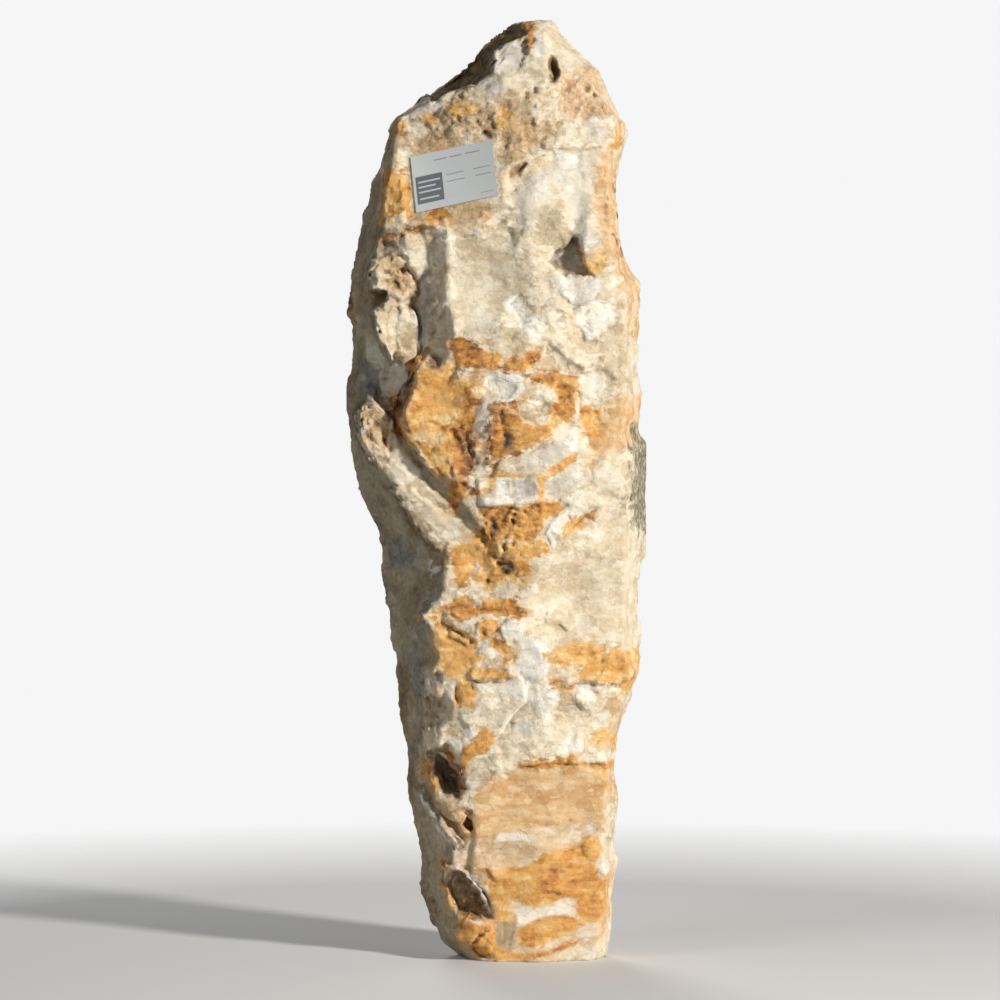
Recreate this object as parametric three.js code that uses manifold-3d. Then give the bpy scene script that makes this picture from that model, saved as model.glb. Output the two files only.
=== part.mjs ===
// A rough-split onyx monolith for a garden: one tall slab of banded cream and ochre calcite that stands
// on a sawn foot, with the paper card that states its length and weight stuck to its front near the top.
// Millimetres, +Z up. The front looks along -Y and +X is to its right.
// The origin is under the middle of the bounding box, on the plane that the stone stands on.

import * as THREE from "three";
import { mergeVertices } from "three/addons/utils/BufferGeometryUtils.js";
import Module from "manifold-3d";

const wasm = await Module();
wasm.setup();

// ---- driving dimensions ----

const HEIGHT = 1160; // foot to tip
const LEVEL_STEP = 20; // height of one course of facets
const FACET_WIDTH = 22; // width that a face is split into
const ROUGHNESS = 3.2; // how far a facet's corner strays from the face
const ROUGHNESS_SIZE = 46; // size of the bumps that it strays in

const CARD = { width: 105, height: 74, thickness: 0.8 }; // an A7 card
const CARD_CENTRE = { x: -52, z: 966 };
const CARD_TILT = 12; // degrees that its right end is raised
const CARD_LEAN = 18; // degrees that its upper edge leans back
const CARD_TURN = 18; // degrees that it is turned towards the stone's left
const CARD_SEAT = { depth: 7, margin: 8 }; // a flat dressed behind the card, at its deepest and round it
const CONTACT_GAP = 0.3; // what two touching solids keep between them

// ---- the stone's arrises ----

// The stone is bounded by long broken edges that run from the foot to the tip. Each is a list of
// [height, x, y], and they are in order round the stone, clockwise from above, from its left edge
// across the front, down the right side and over the back.
const ARRISES = {
  left_edge: [
    [0, -50, 14], [24, -70, 19], [50, -85, 22], [92, -94, 27], [120, -95, 29], [170, -105, 31], [226, -115, 29],
    [247, -111, 31], [294, -121, 34], [368, -125, 34], [393, -133, 29], [431, -133, 26], [455, -140, 34],
    [517, -145, 36], [567, -164, 34], [592, -177, 31], [641, -179, 26], [691, -187, 24], [716, -187, 22],
    [751, -177, 24], [778, -178, 26], [815, -185, 26], [890, -173, 29], [921, -168, 26], [939, -158, 24],
    [952, -157, 22], [970, -148, 19], [989, -141, 17], [1038, -125, 7], [1063, -95, 19], [1088, -59, 29],
    [1113, -34, 26], [1138, -3, 17], [HEIGHT, 22, 7],
  ],
  // The edge between the long left face and whatever lies in front of it. Above 1040 it is the crest
  // in front of the hollow left shoulder, from 540 to 900 it is a low ridge beside a channel.
  left_arris: [
    [0, -38, -34], [40, -48, -42], [96, -59, -50], [133, -51, -56], [176, -70, -54], [263, -75, -58],
    [331, -69, -68], [362, -78, -70], [393, -70, -70], [434, -86, -70], [455, -63, -72], [510, -63, -70],
    [542, -92, -64], [592, -125, -58], [641, -156, -54], [685, -159, -38], [728, -138, -34],
    [790, -140, -44], [846, -145, -48], [896, -137, -46], [939, -137, -38], [1014, -123, -24],
    [1041, -118, -18], [1058, -89, -26], [1071, -48, -34], [1086, -6, -38], [1113, 8, -28],
    [1138, 29, -16], [HEIGHT, 39, -8],
  ],
  // The bottom of the channel, where the front plate steps up from it.
  channel_foot: [
    [0, -18, -50], [195, -55, -60], [263, -60, -66], [443, -33, -74], [529, -23, -70], [567, -55, -62],
    [594, -75, -54], [641, -115, -42], [691, -132, -32], [741, -97, -34], [815, -90, -38], [883, -95, -52],
    [908, -97, -58], [939, -97, -52], [1014, -89, -34], [1057, -58, -36], [1076, -20, -40],
    [1113, 19, -32], [1138, 35, -20], [HEIGHT, 43, -10],
  ],
  plate_edge: [
    [0, 1, -58], [83, -16, -62], [195, -35, -66], [263, -40, -72], [443, -8, -78], [493, 2, -80],
    [529, -13, -80], [567, -40, -78], [594, -59, -76], [641, -105, -72], [691, -126, -70], [759, -83, -74],
    [815, -59, -77], [883, -63, -72], [939, -63, -64], [1014, -58, -46], [1057, -27, -46], [1076, 2, -46],
    [1113, 29, -36], [1138, 42, -22], [HEIGHT, 47, -11],
  ],
  front_middle: [
    [0, 60, -60], [133, 54, -66], [232, 48, -68], [257, 48, -76], [393, 54, -82], [493, 60, -84],
    [592, 48, -86], [691, 23, -86], [790, 42, -84], [890, 42, -84], [939, 42, -80], [1001, 42, -66],
    [1063, 54, -56], [1113, 64, -40], [1138, 60, -24], [HEIGHT, 55, -10],
  ],
  front_right: [
    [0, 121, -50], [108, 128, -54], [269, 136, -56], [344, 158, -52], [493, 156, -56], [592, 156, -60],
    [716, 156, -58], [828, 154, -54], [890, 137, -50], [964, 133, -46], [1020, 143, -38], [1063, 131, -38],
    [1113, 100, -26], [1138, 71, -14], [HEIGHT, 60, -6],
  ],
  right_edge: [
    [0, 132, -6], [71, 143, 0], [195, 146, 2], [244, 145, 4], [275, 148, 6], [319, 163, 8], [356, 178, 8],
    [493, 172, 2], [592, 176, 0], [691, 179, 0], [765, 174, 0], [840, 172, -2], [858, 159, -2],
    [877, 151, -2], [927, 148, 0], [964, 146, 2], [1001, 154, 4], [1020, 159, 6], [1051, 151, 8], [1088, 132, 10],
    [1113, 112, 8], [1138, 80, 4], [HEIGHT, 65, 1],
  ],
  // Behind the right edge an old weathered lobe stands out between 480 and 670.
  right_rear: [
    [0, 121, 43], [71, 132, 50], [275, 136, 58], [356, 161, 60], [443, 156, 55], [480, 168, 50],
    [511, 182, 46], [567, 184, 43], [617, 185, 43], [648, 179, 46], [672, 163, 53], [840, 156, 53],
    [927, 131, 50], [1020, 141, 46], [1063, 128, 38], [1113, 95, 24], [1138, 74, 14], [HEIGHT, 62, 8],
  ],
  back_middle: [
    [0, 48, 70], [195, 42, 86], [381, 35, 96], [567, 23, 101], [753, 11, 98], [890, 4, 89], [1020, 4, 72],
    [1063, 17, 58], [1113, 48, 41], [1138, 52, 29], [HEIGHT, 52, 17],
  ],
  back_left: [
    [0, -23, 55], [71, -51, 65], [195, -70, 70], [381, -89, 77], [567, -120, 79], [691, -145, 74],
    [815, -145, 72], [939, -126, 65], [1020, -101, 55], [1063, -70, 48], [1113, -8, 38], [1138, 11, 29],
    [HEIGHT, 32, 16],
  ],
};

// ---- what is broken out of it and what stands proud ----

// Each is an uneven lump at [x, y, z] with half sizes [across, deep, high], turned in the plane of the
// front by a number of degrees. Scars and sockets are cut out of the stone, and knobs are grown onto it.
const SCARS = [
  { at: [112, -120, 443], half: [112, 60, 84], turn: 15 }, // shell-shaped scar, right of the middle
  { at: [4, -150, 818], half: [96, 73, 96], turn: -8 }, // smooth scar below the card
  { at: [-62, -38, 1138], half: [70, 70, 70], turn: 0 }, // the hollow left shoulder
  { at: [-84, 156, 420], half: [130, 80, 170], turn: 10 }, // scars of the back
  { at: [86, 166, 640], half: [130, 80, 150], turn: -16 },
  { at: [-60, 160, 850], half: [110, 80, 130], turn: 30 },
  { at: [78, 154, 180], half: [110, 78, 120], turn: -10 },
  { at: [-200, 100, 560], half: [62, 60, 120], turn: -12 }, // scars behind the left face
  { at: [-170, 88, 330], half: [60, 60, 110], turn: 6 },
  { at: [236, 0, 330], half: [72, 60, 90], turn: 10 }, // scars of the right side
  { at: [222, 10, 930], half: [74, 60, 80], turn: -14 },
];

const SOCKETS = [
  { at: [-57, -66, 230], half: [18, 34, 30], turn: 24 }, // beside the foot slab
  { at: [-37, -68, 176], half: [8, 20, 17], turn: 28 }, // wedge under it
  { at: [-33, -62, 84], half: [15, 30, 37], turn: 46 }, // slanting, above the foot
  { at: [70, -52, 1100], half: [5, 18, 16], turn: 8 }, // slot under the tip
  { at: [93, -84, 862], half: [27, 22, 27], turn: 20 }, // beside the nose
];

const KNOBS = [
  { at: [126, -50, 872], half: [20, 24, 31], turn: -8 }, // nose on the right of the front
  { at: [-122, -42, 838], half: [29, 20, 28], turn: 10 }, // coarse crust beside the channel
  { at: [-119, -36, 776], half: [22, 24, 38], turn: 12 }, // tooth under it
  { at: [-146, -40, 652], half: [20, 20, 32], turn: 20 }, // lower crust
  { at: [-30, -48, 41], half: [24, 22, 22], turn: 0 }, // toe at the foot
];

// ---- noise ----

// A repeatable random number from 0 to 1 for a corner of the noise lattice.
function lattice(ix, iy, iz) {
  const s = Math.sin(ix * 127.1 + iy * 311.7 + iz * 74.7) * 43758.5453;
  return s - Math.floor(s);
}

// Smooth noise from -1 to 1.
function noise(x, y, z) {
  const cell = [x, y, z].map(Math.floor);
  const part = [x - cell[0], y - cell[1], z - cell[2]].map((t) => t * t * (3 - 2 * t));
  let sum = 0;
  for (let corner = 0; corner < 8; corner++) {
    const on = [corner & 1, (corner >> 1) & 1, corner >> 2];
    const weight = on.reduce((w, o, i) => w * (o ? part[i] : 1 - part[i]), 1);
    sum += weight * lattice(cell[0] + on[0], cell[1] + on[1], cell[2] + on[2]);
  }
  return 2 * sum - 1;
}

// How far a point of the surface strays, in three directions.
function stray(p, size, amount) {
  const [x, y, z] = p.toArray().map((v) => v / size);
  return new THREE.Vector3(noise(x, y, z), noise(x + 31, y, z), noise(x, y + 57, z)).multiplyScalar(amount);
}

// ---- solids ----

function solidFrom(geometry) {
  geometry.deleteAttribute("normal");
  geometry.deleteAttribute("uv");
  const merged = mergeVertices(geometry, 1e-3);
  return new wasm.Manifold(
    new wasm.Mesh({
      numProp: 3,
      vertProperties: merged.attributes.position.array,
      triVerts: new Uint32Array(merged.index.array),
    }),
  );
}

function geometryFrom(solid) {
  const mesh = solid.getMesh();
  const geometry = new THREE.BufferGeometry();
  geometry.setAttribute("position", new THREE.BufferAttribute(mesh.vertProperties, 3));
  geometry.setIndex(new THREE.BufferAttribute(mesh.triVerts, 1));
  geometry.computeVertexNormals();
  return geometry;
}

// Where an arris is at a height.
function arrisAt(points, height) {
  const above = Math.max(1, points.findIndex((p) => p[0] >= height));
  const [z0, x0, y0] = points[above - 1];
  const [z1, x1, y1] = points[above];
  const share = (height - z0) / (z1 - z0);
  return new THREE.Vector3(x0 + (x1 - x0) * share, y0 + (y1 - y0) * share, height);
}

// How many facets wide each face is, from its width at its widest.
function facetCounts(lines) {
  return lines.map((line, i) => {
    const next = lines[(i + 1) % lines.length];
    let widest = 0;
    for (let z = 0; z <= HEIGHT; z += LEVEL_STEP) {
      widest = Math.max(widest, arrisAt(line, z).distanceTo(arrisAt(next, z)));
    }
    return Math.max(1, Math.round(widest / FACET_WIDTH));
  });
}

// One level of the stone: a closed ring of points through its arrises.
function ringAt(height, lines, counts) {
  const ring = [];
  lines.forEach((line, i) => {
    const from = arrisAt(line, height);
    const to = arrisAt(lines[(i + 1) % lines.length], height);
    for (let k = 0; k < counts[i]; k++) {
      const p = from.clone().lerp(to, k / counts[i]);
      const off = stray(p, ROUGHNESS_SIZE, ROUGHNESS);
      const flat = height === 0 || height === HEIGHT;
      ring.push(p.add(flat ? new THREE.Vector3(off.x, off.y, 0) : off));
    }
  });
  return ring;
}

// The stone as it was split, before its scars.
function splitBlock() {
  const lines = Object.values(ARRISES);
  const counts = facetCounts(lines);
  const levels = Math.round(HEIGHT / LEVEL_STEP);
  const rings = Array.from({ length: levels + 1 }, (_, i) => ringAt((HEIGHT * i) / levels, lines, counts));
  const around = rings[0].length;
  const positions = rings.flat().flatMap((p) => p.toArray());
  const index = [];
  for (let level = 0; level < levels; level++) {
    for (let k = 0; k < around; k++) {
      const a = level * around + k;
      const b = level * around + ((k + 1) % around);
      const slant = (level + k) % 2;
      if (slant) index.push(a, b, a + around, b, b + around, a + around);
      else index.push(a, b, b + around, a, b + around, a + around);
    }
  }
  // The foot and the tip are flat, so each is triangles round its middle.
  [rings[0], rings[levels]].forEach((ring, end) => {
    const middle = ring.reduce((sum, p) => sum.add(p), new THREE.Vector3()).divideScalar(around);
    const first = end * levels * around;
    const centre = positions.length / 3;
    positions.push(...middle.toArray());
    for (let k = 0; k < around; k++) {
      const here = first + k;
      const next = first + ((k + 1) % around);
      index.push(...(end ? [here, next, centre] : [next, here, centre]));
    }
  });
  const geometry = new THREE.BufferGeometry();
  geometry.setAttribute("position", new THREE.Float32BufferAttribute(positions, 3));
  geometry.setIndex(index);
  return solidFrom(geometry);
}

// An uneven lump: a sphere of flat faces, roughened, stretched, turned and put in its place.
function lump({ at, half, turn }, { detail, unevenness }) {
  const geometry = new THREE.IcosahedronGeometry(1, detail);
  const position = geometry.attributes.position;
  const [, , seed] = at;
  for (let i = 0; i < position.count; i++) {
    const p = new THREE.Vector3().fromBufferAttribute(position, i);
    const swell = 1 + unevenness * noise(p.x * 1.9 + seed, p.y * 1.9, p.z * 1.9);
    p.multiplyScalar(swell).multiply(new THREE.Vector3(...half));
    position.setXYZ(i, p.x, p.y, p.z);
  }
  geometry.rotateY(THREE.MathUtils.degToRad(-turn));
  geometry.translate(...at);
  return solidFrom(geometry);
}

function carve(block) {
  const scars = SCARS.map((scar) => lump(scar, { detail: 5, unevenness: 0.05 }));
  const knobs = KNOBS.map((knob) => lump(knob, { detail: 2, unevenness: 0.3 }));
  const sockets = SOCKETS.map((socket) => lump(socket, { detail: 2, unevenness: 0.25 }));
  const scarred = scars.reduce((solid, scar) => solid.subtract(scar), block);
  const grown = knobs.reduce((solid, knob) => solid.add(knob), scarred);
  return sockets.reduce((solid, socket) => solid.subtract(socket), grown);
}

// Moves the stone so that the origin is under the middle of its bounding box.
function centred(geometry) {
  geometry.computeBoundingBox();
  const middle = geometry.boundingBox.getCenter(new THREE.Vector3());
  geometry.translate(-middle.x, -middle.y, 0);
  return geometry;
}

// ---- the card ----

// The card is slid straight back until it rests on the highest points of the front, which are dressed flat.
function placeCard(card, stone) {
  const rad = THREE.MathUtils.degToRad;
  card.rotation.set(rad(-CARD_LEAN), rad(-CARD_TILT), rad(-CARD_TURN), "ZXY");
  card.position.set(CARD_CENTRE.x, 0, CARD_CENTRE.z);
  card.updateMatrix();
  const toCard = card.matrix.clone().invert();
  const slope = new THREE.Vector3(0, 1, 0).applyQuaternion(card.quaternion).y;
  const reach = { x: CARD.width / 2 + FACET_WIDTH, z: CARD.height / 2 + LEVEL_STEP };
  const position = stone.geometry.attributes.position;
  let nearest = 0;
  for (let i = 0; i < position.count; i++) {
    const p = new THREE.Vector3().fromBufferAttribute(position, i);
    const behind = p.clone().applyMatrix4(toCard).y / slope;
    const { x, z } = p.setY(p.y - behind).applyMatrix4(toCard);
    if (Math.abs(x) < reach.x && Math.abs(z) < reach.z) nearest = Math.min(nearest, behind);
  }
  card.position.y = nearest + CARD_SEAT.depth;
  card.updateMatrix();
}

function dressSeat(stone, card) {
  const cut = 60;
  const around = 2 * CARD_SEAT.margin;
  const geometry = new THREE.BoxGeometry(CARD.width + around, cut, CARD.height + around);
  geometry.translate(0, CARD.thickness / 2 + CONTACT_GAP - cut / 2, 0);
  geometry.applyMatrix4(card.matrix);
  return geometryFrom(solidFrom(stone.geometry).subtract(solidFrom(geometry)));
}

// ---- materials ----

const CREAM_ONYX = new THREE.MeshStandardMaterial({ color: 0xdcc6a2, roughness: 0.72, metalness: 0 });
const WHITE_CARD = new THREE.MeshStandardMaterial({ color: 0xdfe1e2, roughness: 0.4, metalness: 0 });

// ---- assembly ----

const monolith = new THREE.Group();

const stone = new THREE.Mesh(centred(geometryFrom(carve(splitBlock()))), CREAM_ONYX);
stone.name = "stone";
monolith.add(stone);

const labelCard = new THREE.Mesh(new THREE.BoxGeometry(CARD.width, CARD.thickness, CARD.height), WHITE_CARD);
labelCard.name = "label_card";
placeCard(labelCard, stone);
stone.geometry = dressSeat(stone, labelCard);
monolith.add(labelCard);

export default monolith;
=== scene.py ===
"""The finish of a rough-split onyx monolith: a tall slab of cream, ochre and white calcite on a sawn foot,
with the paper card that states its length and weight stuck to its front near the top.

The shape of both pieces follows their CAD solids. Sizes in the lists below are millimetres, x to the
right and z up from the foot, as seen from the front.
"""

import math

import bmesh
import bpy
import numpy as np
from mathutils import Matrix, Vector


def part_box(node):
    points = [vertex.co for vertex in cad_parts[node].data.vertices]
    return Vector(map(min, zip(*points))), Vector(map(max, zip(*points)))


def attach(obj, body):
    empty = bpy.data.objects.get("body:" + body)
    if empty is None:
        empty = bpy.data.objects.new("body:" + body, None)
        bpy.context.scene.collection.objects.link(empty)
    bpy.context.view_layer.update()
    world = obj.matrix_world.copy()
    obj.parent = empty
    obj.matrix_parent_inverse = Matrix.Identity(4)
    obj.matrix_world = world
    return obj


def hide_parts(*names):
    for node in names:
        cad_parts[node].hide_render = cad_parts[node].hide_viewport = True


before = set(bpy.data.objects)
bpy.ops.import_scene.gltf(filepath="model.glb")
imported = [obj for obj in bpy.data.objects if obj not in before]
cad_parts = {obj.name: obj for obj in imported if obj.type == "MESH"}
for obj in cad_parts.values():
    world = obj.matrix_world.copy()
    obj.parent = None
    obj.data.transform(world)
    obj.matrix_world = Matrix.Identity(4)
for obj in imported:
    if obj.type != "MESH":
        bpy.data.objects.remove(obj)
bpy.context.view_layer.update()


# ---- The stone: its marks ----
# Split onyx is cream calcite with veins of white crystal. Iron has stained it ochre along its cracks, the
# open hollows hold dark soil, and old outer faces carry a granular crust. Some marks also hold painted
# shade, where shadow falls on the stone. Each mark is an outline of (x, z) corners on the front. Where a
# mark has a number before its outline, it is how deep the colour is.

OCHRE = [
    # the ring on the foot
    (1.6, [(103, 148), (103, 134), (111, 126), (124, 127), (132, 137), (126, 135), (116, 131),
           (109, 136), (108, 147)]),
    (1.4, [(106, 150), (116, 156), (127, 152), (132, 142), (125, 146), (116, 149)]),
    # the folded strip down the left of the front
    (0.55, [(-74, 424), (-50, 418), (-30, 404), (-22, 392), (-36, 384), (-56, 388), (-72, 396)]),
    (0.5, [(-74, 384), (-50, 378), (-28, 374), (-22, 356), (-36, 346), (-52, 352), (-70, 362)]),
    (0.65, [(-48, 350), (-34, 352), (-24, 334), (-28, 318), (-40, 316), (-44, 330)]),
    # a patch on the foot, and the brown of the folds beside the left lobe
    (0.45, [(-6, 74), (14, 76), (22, 66), (16, 50), (-4, 52)]),
    (1.7, [(-60, 654), (-46, 660), (-32, 644), (-26, 612), (-34, 590), (-46, 598), (-50, 630)]),
    # round the tip and beside the card
    (1.0, [(30, 1160), (50, 1158), (49, 1146), (40, 1139), (30, 1144)]),
    (0.9, [(-121, 1034), (-114, 1037), (-111, 1018), (-117, 1011), (-122, 1019)]),
    (0.7, [(-90, 1042), (-80, 1044), (-79, 1031), (-88, 1028)]),
    (0.8, [(-106, 1004), (-93, 1004), (-91, 996), (-104, 995)]),
    (0.85, [(-136, 974), (-120, 974), (-106, 962), (-104, 920), (-118, 916), (-128, 900), (-139, 905)]),
    (1.4, [(-86, 912), (-76, 924), (-62, 934), (-57, 930), (-68, 918), (-80, 906)]),
    (1.3, [(-138, 886), (-124, 894), (-108, 902), (-92, 907), (-92, 904), (-108, 898), (-126, 888)]),
    (0.7, [(-60, 1050), (-40, 1064), (-22, 1056), (-30, 1040), (-50, 1036)]),
    (0.6, [(-6, 1036), (6, 1050), (22, 1040), (14, 1022), (0, 1020)]),
    (1.2, [(34, 1140), (46, 1143), (50, 1130), (44, 1118), (36, 1124)]),
    (0.8, [(-84, 918), (-78, 925), (-62, 928), (-60, 918), (-74, 910), (-84, 908)]),
    (0.8, [(138, 1004), (144, 1018), (149, 1027), (154, 1019), (150, 1000), (143, 999)]),
    # the nose, the left edge beside the left lobe, whose deep brown is partly painted shade on a wall in
    # shadow, and the brown below the crystals
    (0.3, [(110, 858), (118, 864), (125, 873), (134, 872), (136, 860), (128, 848), (112, 846)]),
    (1.1, [(104, 874), (109, 870), (114, 852), (110, 847), (106, 860)]),
    (1.5, [(-134, 694), (-120, 704), (-113, 692), (-116, 668), (-113, 650), (-124, 650), (-132, 672)]),
    (1.3, [(-8, 686), (4, 690), (8, 660), (12, 640), (30, 632), (40, 640), (52, 650), (64, 648),
           (50, 634), (24, 624), (4, 618), (-8, 612), (-10, 640)]),
    # the horseshoe: its upper band, its left lobe, its right lobe
    (1.2, [(-60, 764), (-48, 769), (-38, 767), (-30, 758), (-14, 755), (4, 749), (6, 736), (24, 742),
           (40, 748), (50, 757), (57, 750), (46, 742), (42, 730), (22, 727), (0, 730), (-30, 731),
           (-52, 734)]),
    (0.75, [(-108, 740), (-96, 748), (-86, 744), (-84, 736), (-70, 732), (-60, 738), (-50, 727), (-34, 716),
           (-20, 700), (-22, 690), (-30, 676), (-30, 662), (-40, 655), (-56, 660), (-66, 650), (-95, 650),
           (-113, 652), (-117, 668), (-112, 690), (-104, 706)]),
    (1.2, [(-113, 704), (-104, 716), (-92, 730), (-84, 728), (-92, 706), (-100, 684), (-102, 660),
           (-112, 654), (-115, 680)]),
    (0.4, [(-112, 657), (-60, 657), (-46, 642), (-58, 600), (-72, 604), (-76, 636), (-90, 647), (-112, 647)]),
    (1.1, [(-110, 642), (-86, 643), (-76, 636), (-72, 618), (-66, 600), (-80, 610), (-96, 628)]),
    (0.95, [(42, 724), (62, 727), (80, 726), (97, 718), (101, 700), (98, 680), (92, 664), (74, 657),
            (70, 648), (52, 640), (44, 632), (24, 631), (14, 622), (-2, 616), (-19, 606), (-14, 618),
            (0, 630), (-2, 650), (4, 683), (14, 688), (24, 692), (34, 704), (37, 698), (27, 684),
            (23, 672), (30, 663), (48, 662), (62, 668), (72, 680), (73, 694), (66, 706), (54, 712),
            (44, 713)]),
    (0.8, [(100, 680), (108, 686), (120, 684), (134, 681), (130, 664), (124, 650), (110, 650), (104, 662)]),
    (0.7, [(52, 602), (64, 606), (80, 616), (96, 624), (92, 614), (72, 600), (60, 594), (58, 570),
           (50, 568)]),
    (0.5, [(-2, 612), (8, 604), (44, 602), (30, 597), (2, 598), (-6, 580), (-14, 584), (-8, 600)]),
    # the left lobe's folds, and the band and pitted column below the crystals, with patches beside them
    (1.15, [(-60, 656), (-48, 652), (-40, 640), (-38, 612), (-42, 596), (-32, 584), (-12, 584), (-20, 575),
           (-40, 572), (-52, 556), (-60, 560), (-58, 600), (-62, 640)]),
    (1.0, [(-22, 562), (0, 563), (28, 566), (56, 567), (75, 577), (78, 562), (70, 548), (58, 542),
           (52, 530), (40, 520), (20, 517), (2, 524), (-12, 518), (-22, 524), (-18, 540), (-22, 552)]),
    (0.8, [(-60, 516), (-40, 518), (-20, 517), (-10, 506), (-20, 498), (-28, 486), (-40, 465), (-52, 470),
           (-56, 486), (-52, 500)]),
    (0.7, [(-20, 500), (8, 498), (34, 520), (58, 524), (60, 506), (42, 500), (38, 484), (30, 478),
           (14, 476), (0, 470), (-8, 452), (-16, 466), (-28, 470)]),
    (0.8, [(20, 476), (34, 480), (44, 472), (36, 464), (26, 458)]),
    (0.9, [(-92, 424), (-84, 431), (-70, 438), (-58, 450), (-34, 455), (-28, 442), (-14, 438), (-12, 447),
           (4, 446), (22, 448), (30, 440), (36, 430), (24, 422), (8, 430), (-14, 433), (-30, 426),
           (-44, 420), (-60, 430), (-76, 421)]),
    (1.0, [(-24, 418), (-18, 426), (0, 426), (4, 414), (0, 400), (-18, 399)]),
    (0.9, [(-4, 400), (6, 394), (22, 386), (24, 374), (10, 366), (4, 378), (-8, 394)]),
    (0.75, [(-24, 524), (6, 522), (30, 522), (46, 516), (44, 500), (26, 480), (10, 464), (-8, 464),
            (-20, 480), (-28, 500)]),
    (0.6, [(82, 534), (90, 545), (104, 549), (117, 551), (112, 543), (98, 530), (84, 524)]),
    (0.9, [(98, 80), (120, 84), (134, 84), (134, 58), (120, 50), (100, 56)]),
    (0.8, [(-66, 96), (-58, 94), (-52, 76), (-54, 64), (-60, 66)]),
    (0.8, [(-69, 128), (-58, 124), (-57, 110), (-66, 112)]),
    # either side of the flat wedge
    (0.7, [(-78, 386), (-64, 394), (-42, 396), (-28, 384), (-12, 378), (-30, 368), (-56, 356), (-72, 364)]),
    (1.0, [(-36, 358), (-22, 365), (2, 362), (22, 356), (10, 350), (-10, 347), (-28, 350)]),
    (0.7, [(-54, 352), (-40, 350), (-34, 338), (-36, 324), (-44, 312), (-50, 322), (-48, 338)]),
    (0.5, [(58, 378), (78, 384), (96, 394), (108, 404), (120, 392), (136, 382), (176, 384), (176, 362),
           (166, 354), (172, 338), (158, 328), (152, 344), (120, 345), (106, 345), (104, 356), (112, 364),
           (94, 370), (72, 366)]),
    (0.8, [(58, 350), (74, 345), (94, 344), (92, 339), (74, 340)]),
    (0.6, [(-42, 260), (-26, 272), (-14, 289), (-4, 275), (-14, 260), (-28, 254), (-34, 240), (-42, 242)]),
    (0.6, [(108, 272), (120, 286), (138, 287), (146, 276), (140, 264), (124, 262)]),
    (0.9, [(24, 243), (46, 252), (70, 251), (96, 256), (114, 247), (146, 245), (146, 237), (90, 241),
           (50, 238)]),
    (1.5, [(-62, 262), (-52, 250), (-40, 232), (-36, 212), (-48, 202), (-50, 222), (-60, 242)]),
    (1.4, [(-38, 189), (-30, 189), (-30, 162), (-38, 166), (-43, 176)]),
    (0.8, [(-92, 246), (-84, 250), (-76, 232), (-68, 214), (-74, 210), (-84, 226)]),
    # the bands of the foot
    (0.8, [(-26, 117), (-6, 115), (24, 116), (50, 125), (62, 137), (86, 141), (112, 152), (122, 152),
           (132, 142), (128, 128), (118, 122), (92, 124), (78, 116), (64, 108), (30, 99), (-22, 97),
           (-4, 105)]),
    (1.0, [(-10, 101), (26, 103), (62, 110), (80, 118), (92, 124), (120, 122), (126, 104), (134, 100),
           (132, 84), (112, 77), (84, 80), (62, 70), (48, 66), (22, 77), (-6, 74), (-10, 86)]),
    (0.9, [(24, 38), (36, 47), (58, 56), (92, 56), (102, 51), (126, 64), (132, 58), (124, 50), (102, 45),
           (92, 38), (72, 29), (58, 20), (40, 18), (28, 24)]),
    (0.9, [(-14, 6), (0, 15), (24, 13), (44, 10), (66, 14), (102, 31), (96, 20), (62, 8), (30, 4), (0, 1)]),
    (1.2, [(-50, 44), (-40, 61), (-34, 56), (-12, 52), (0, 48), (-3, 30), (2, 15), (-10, 4), (-20, 0),
           (-30, 14), (-44, 20), (-49, 30)]),
]

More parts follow.
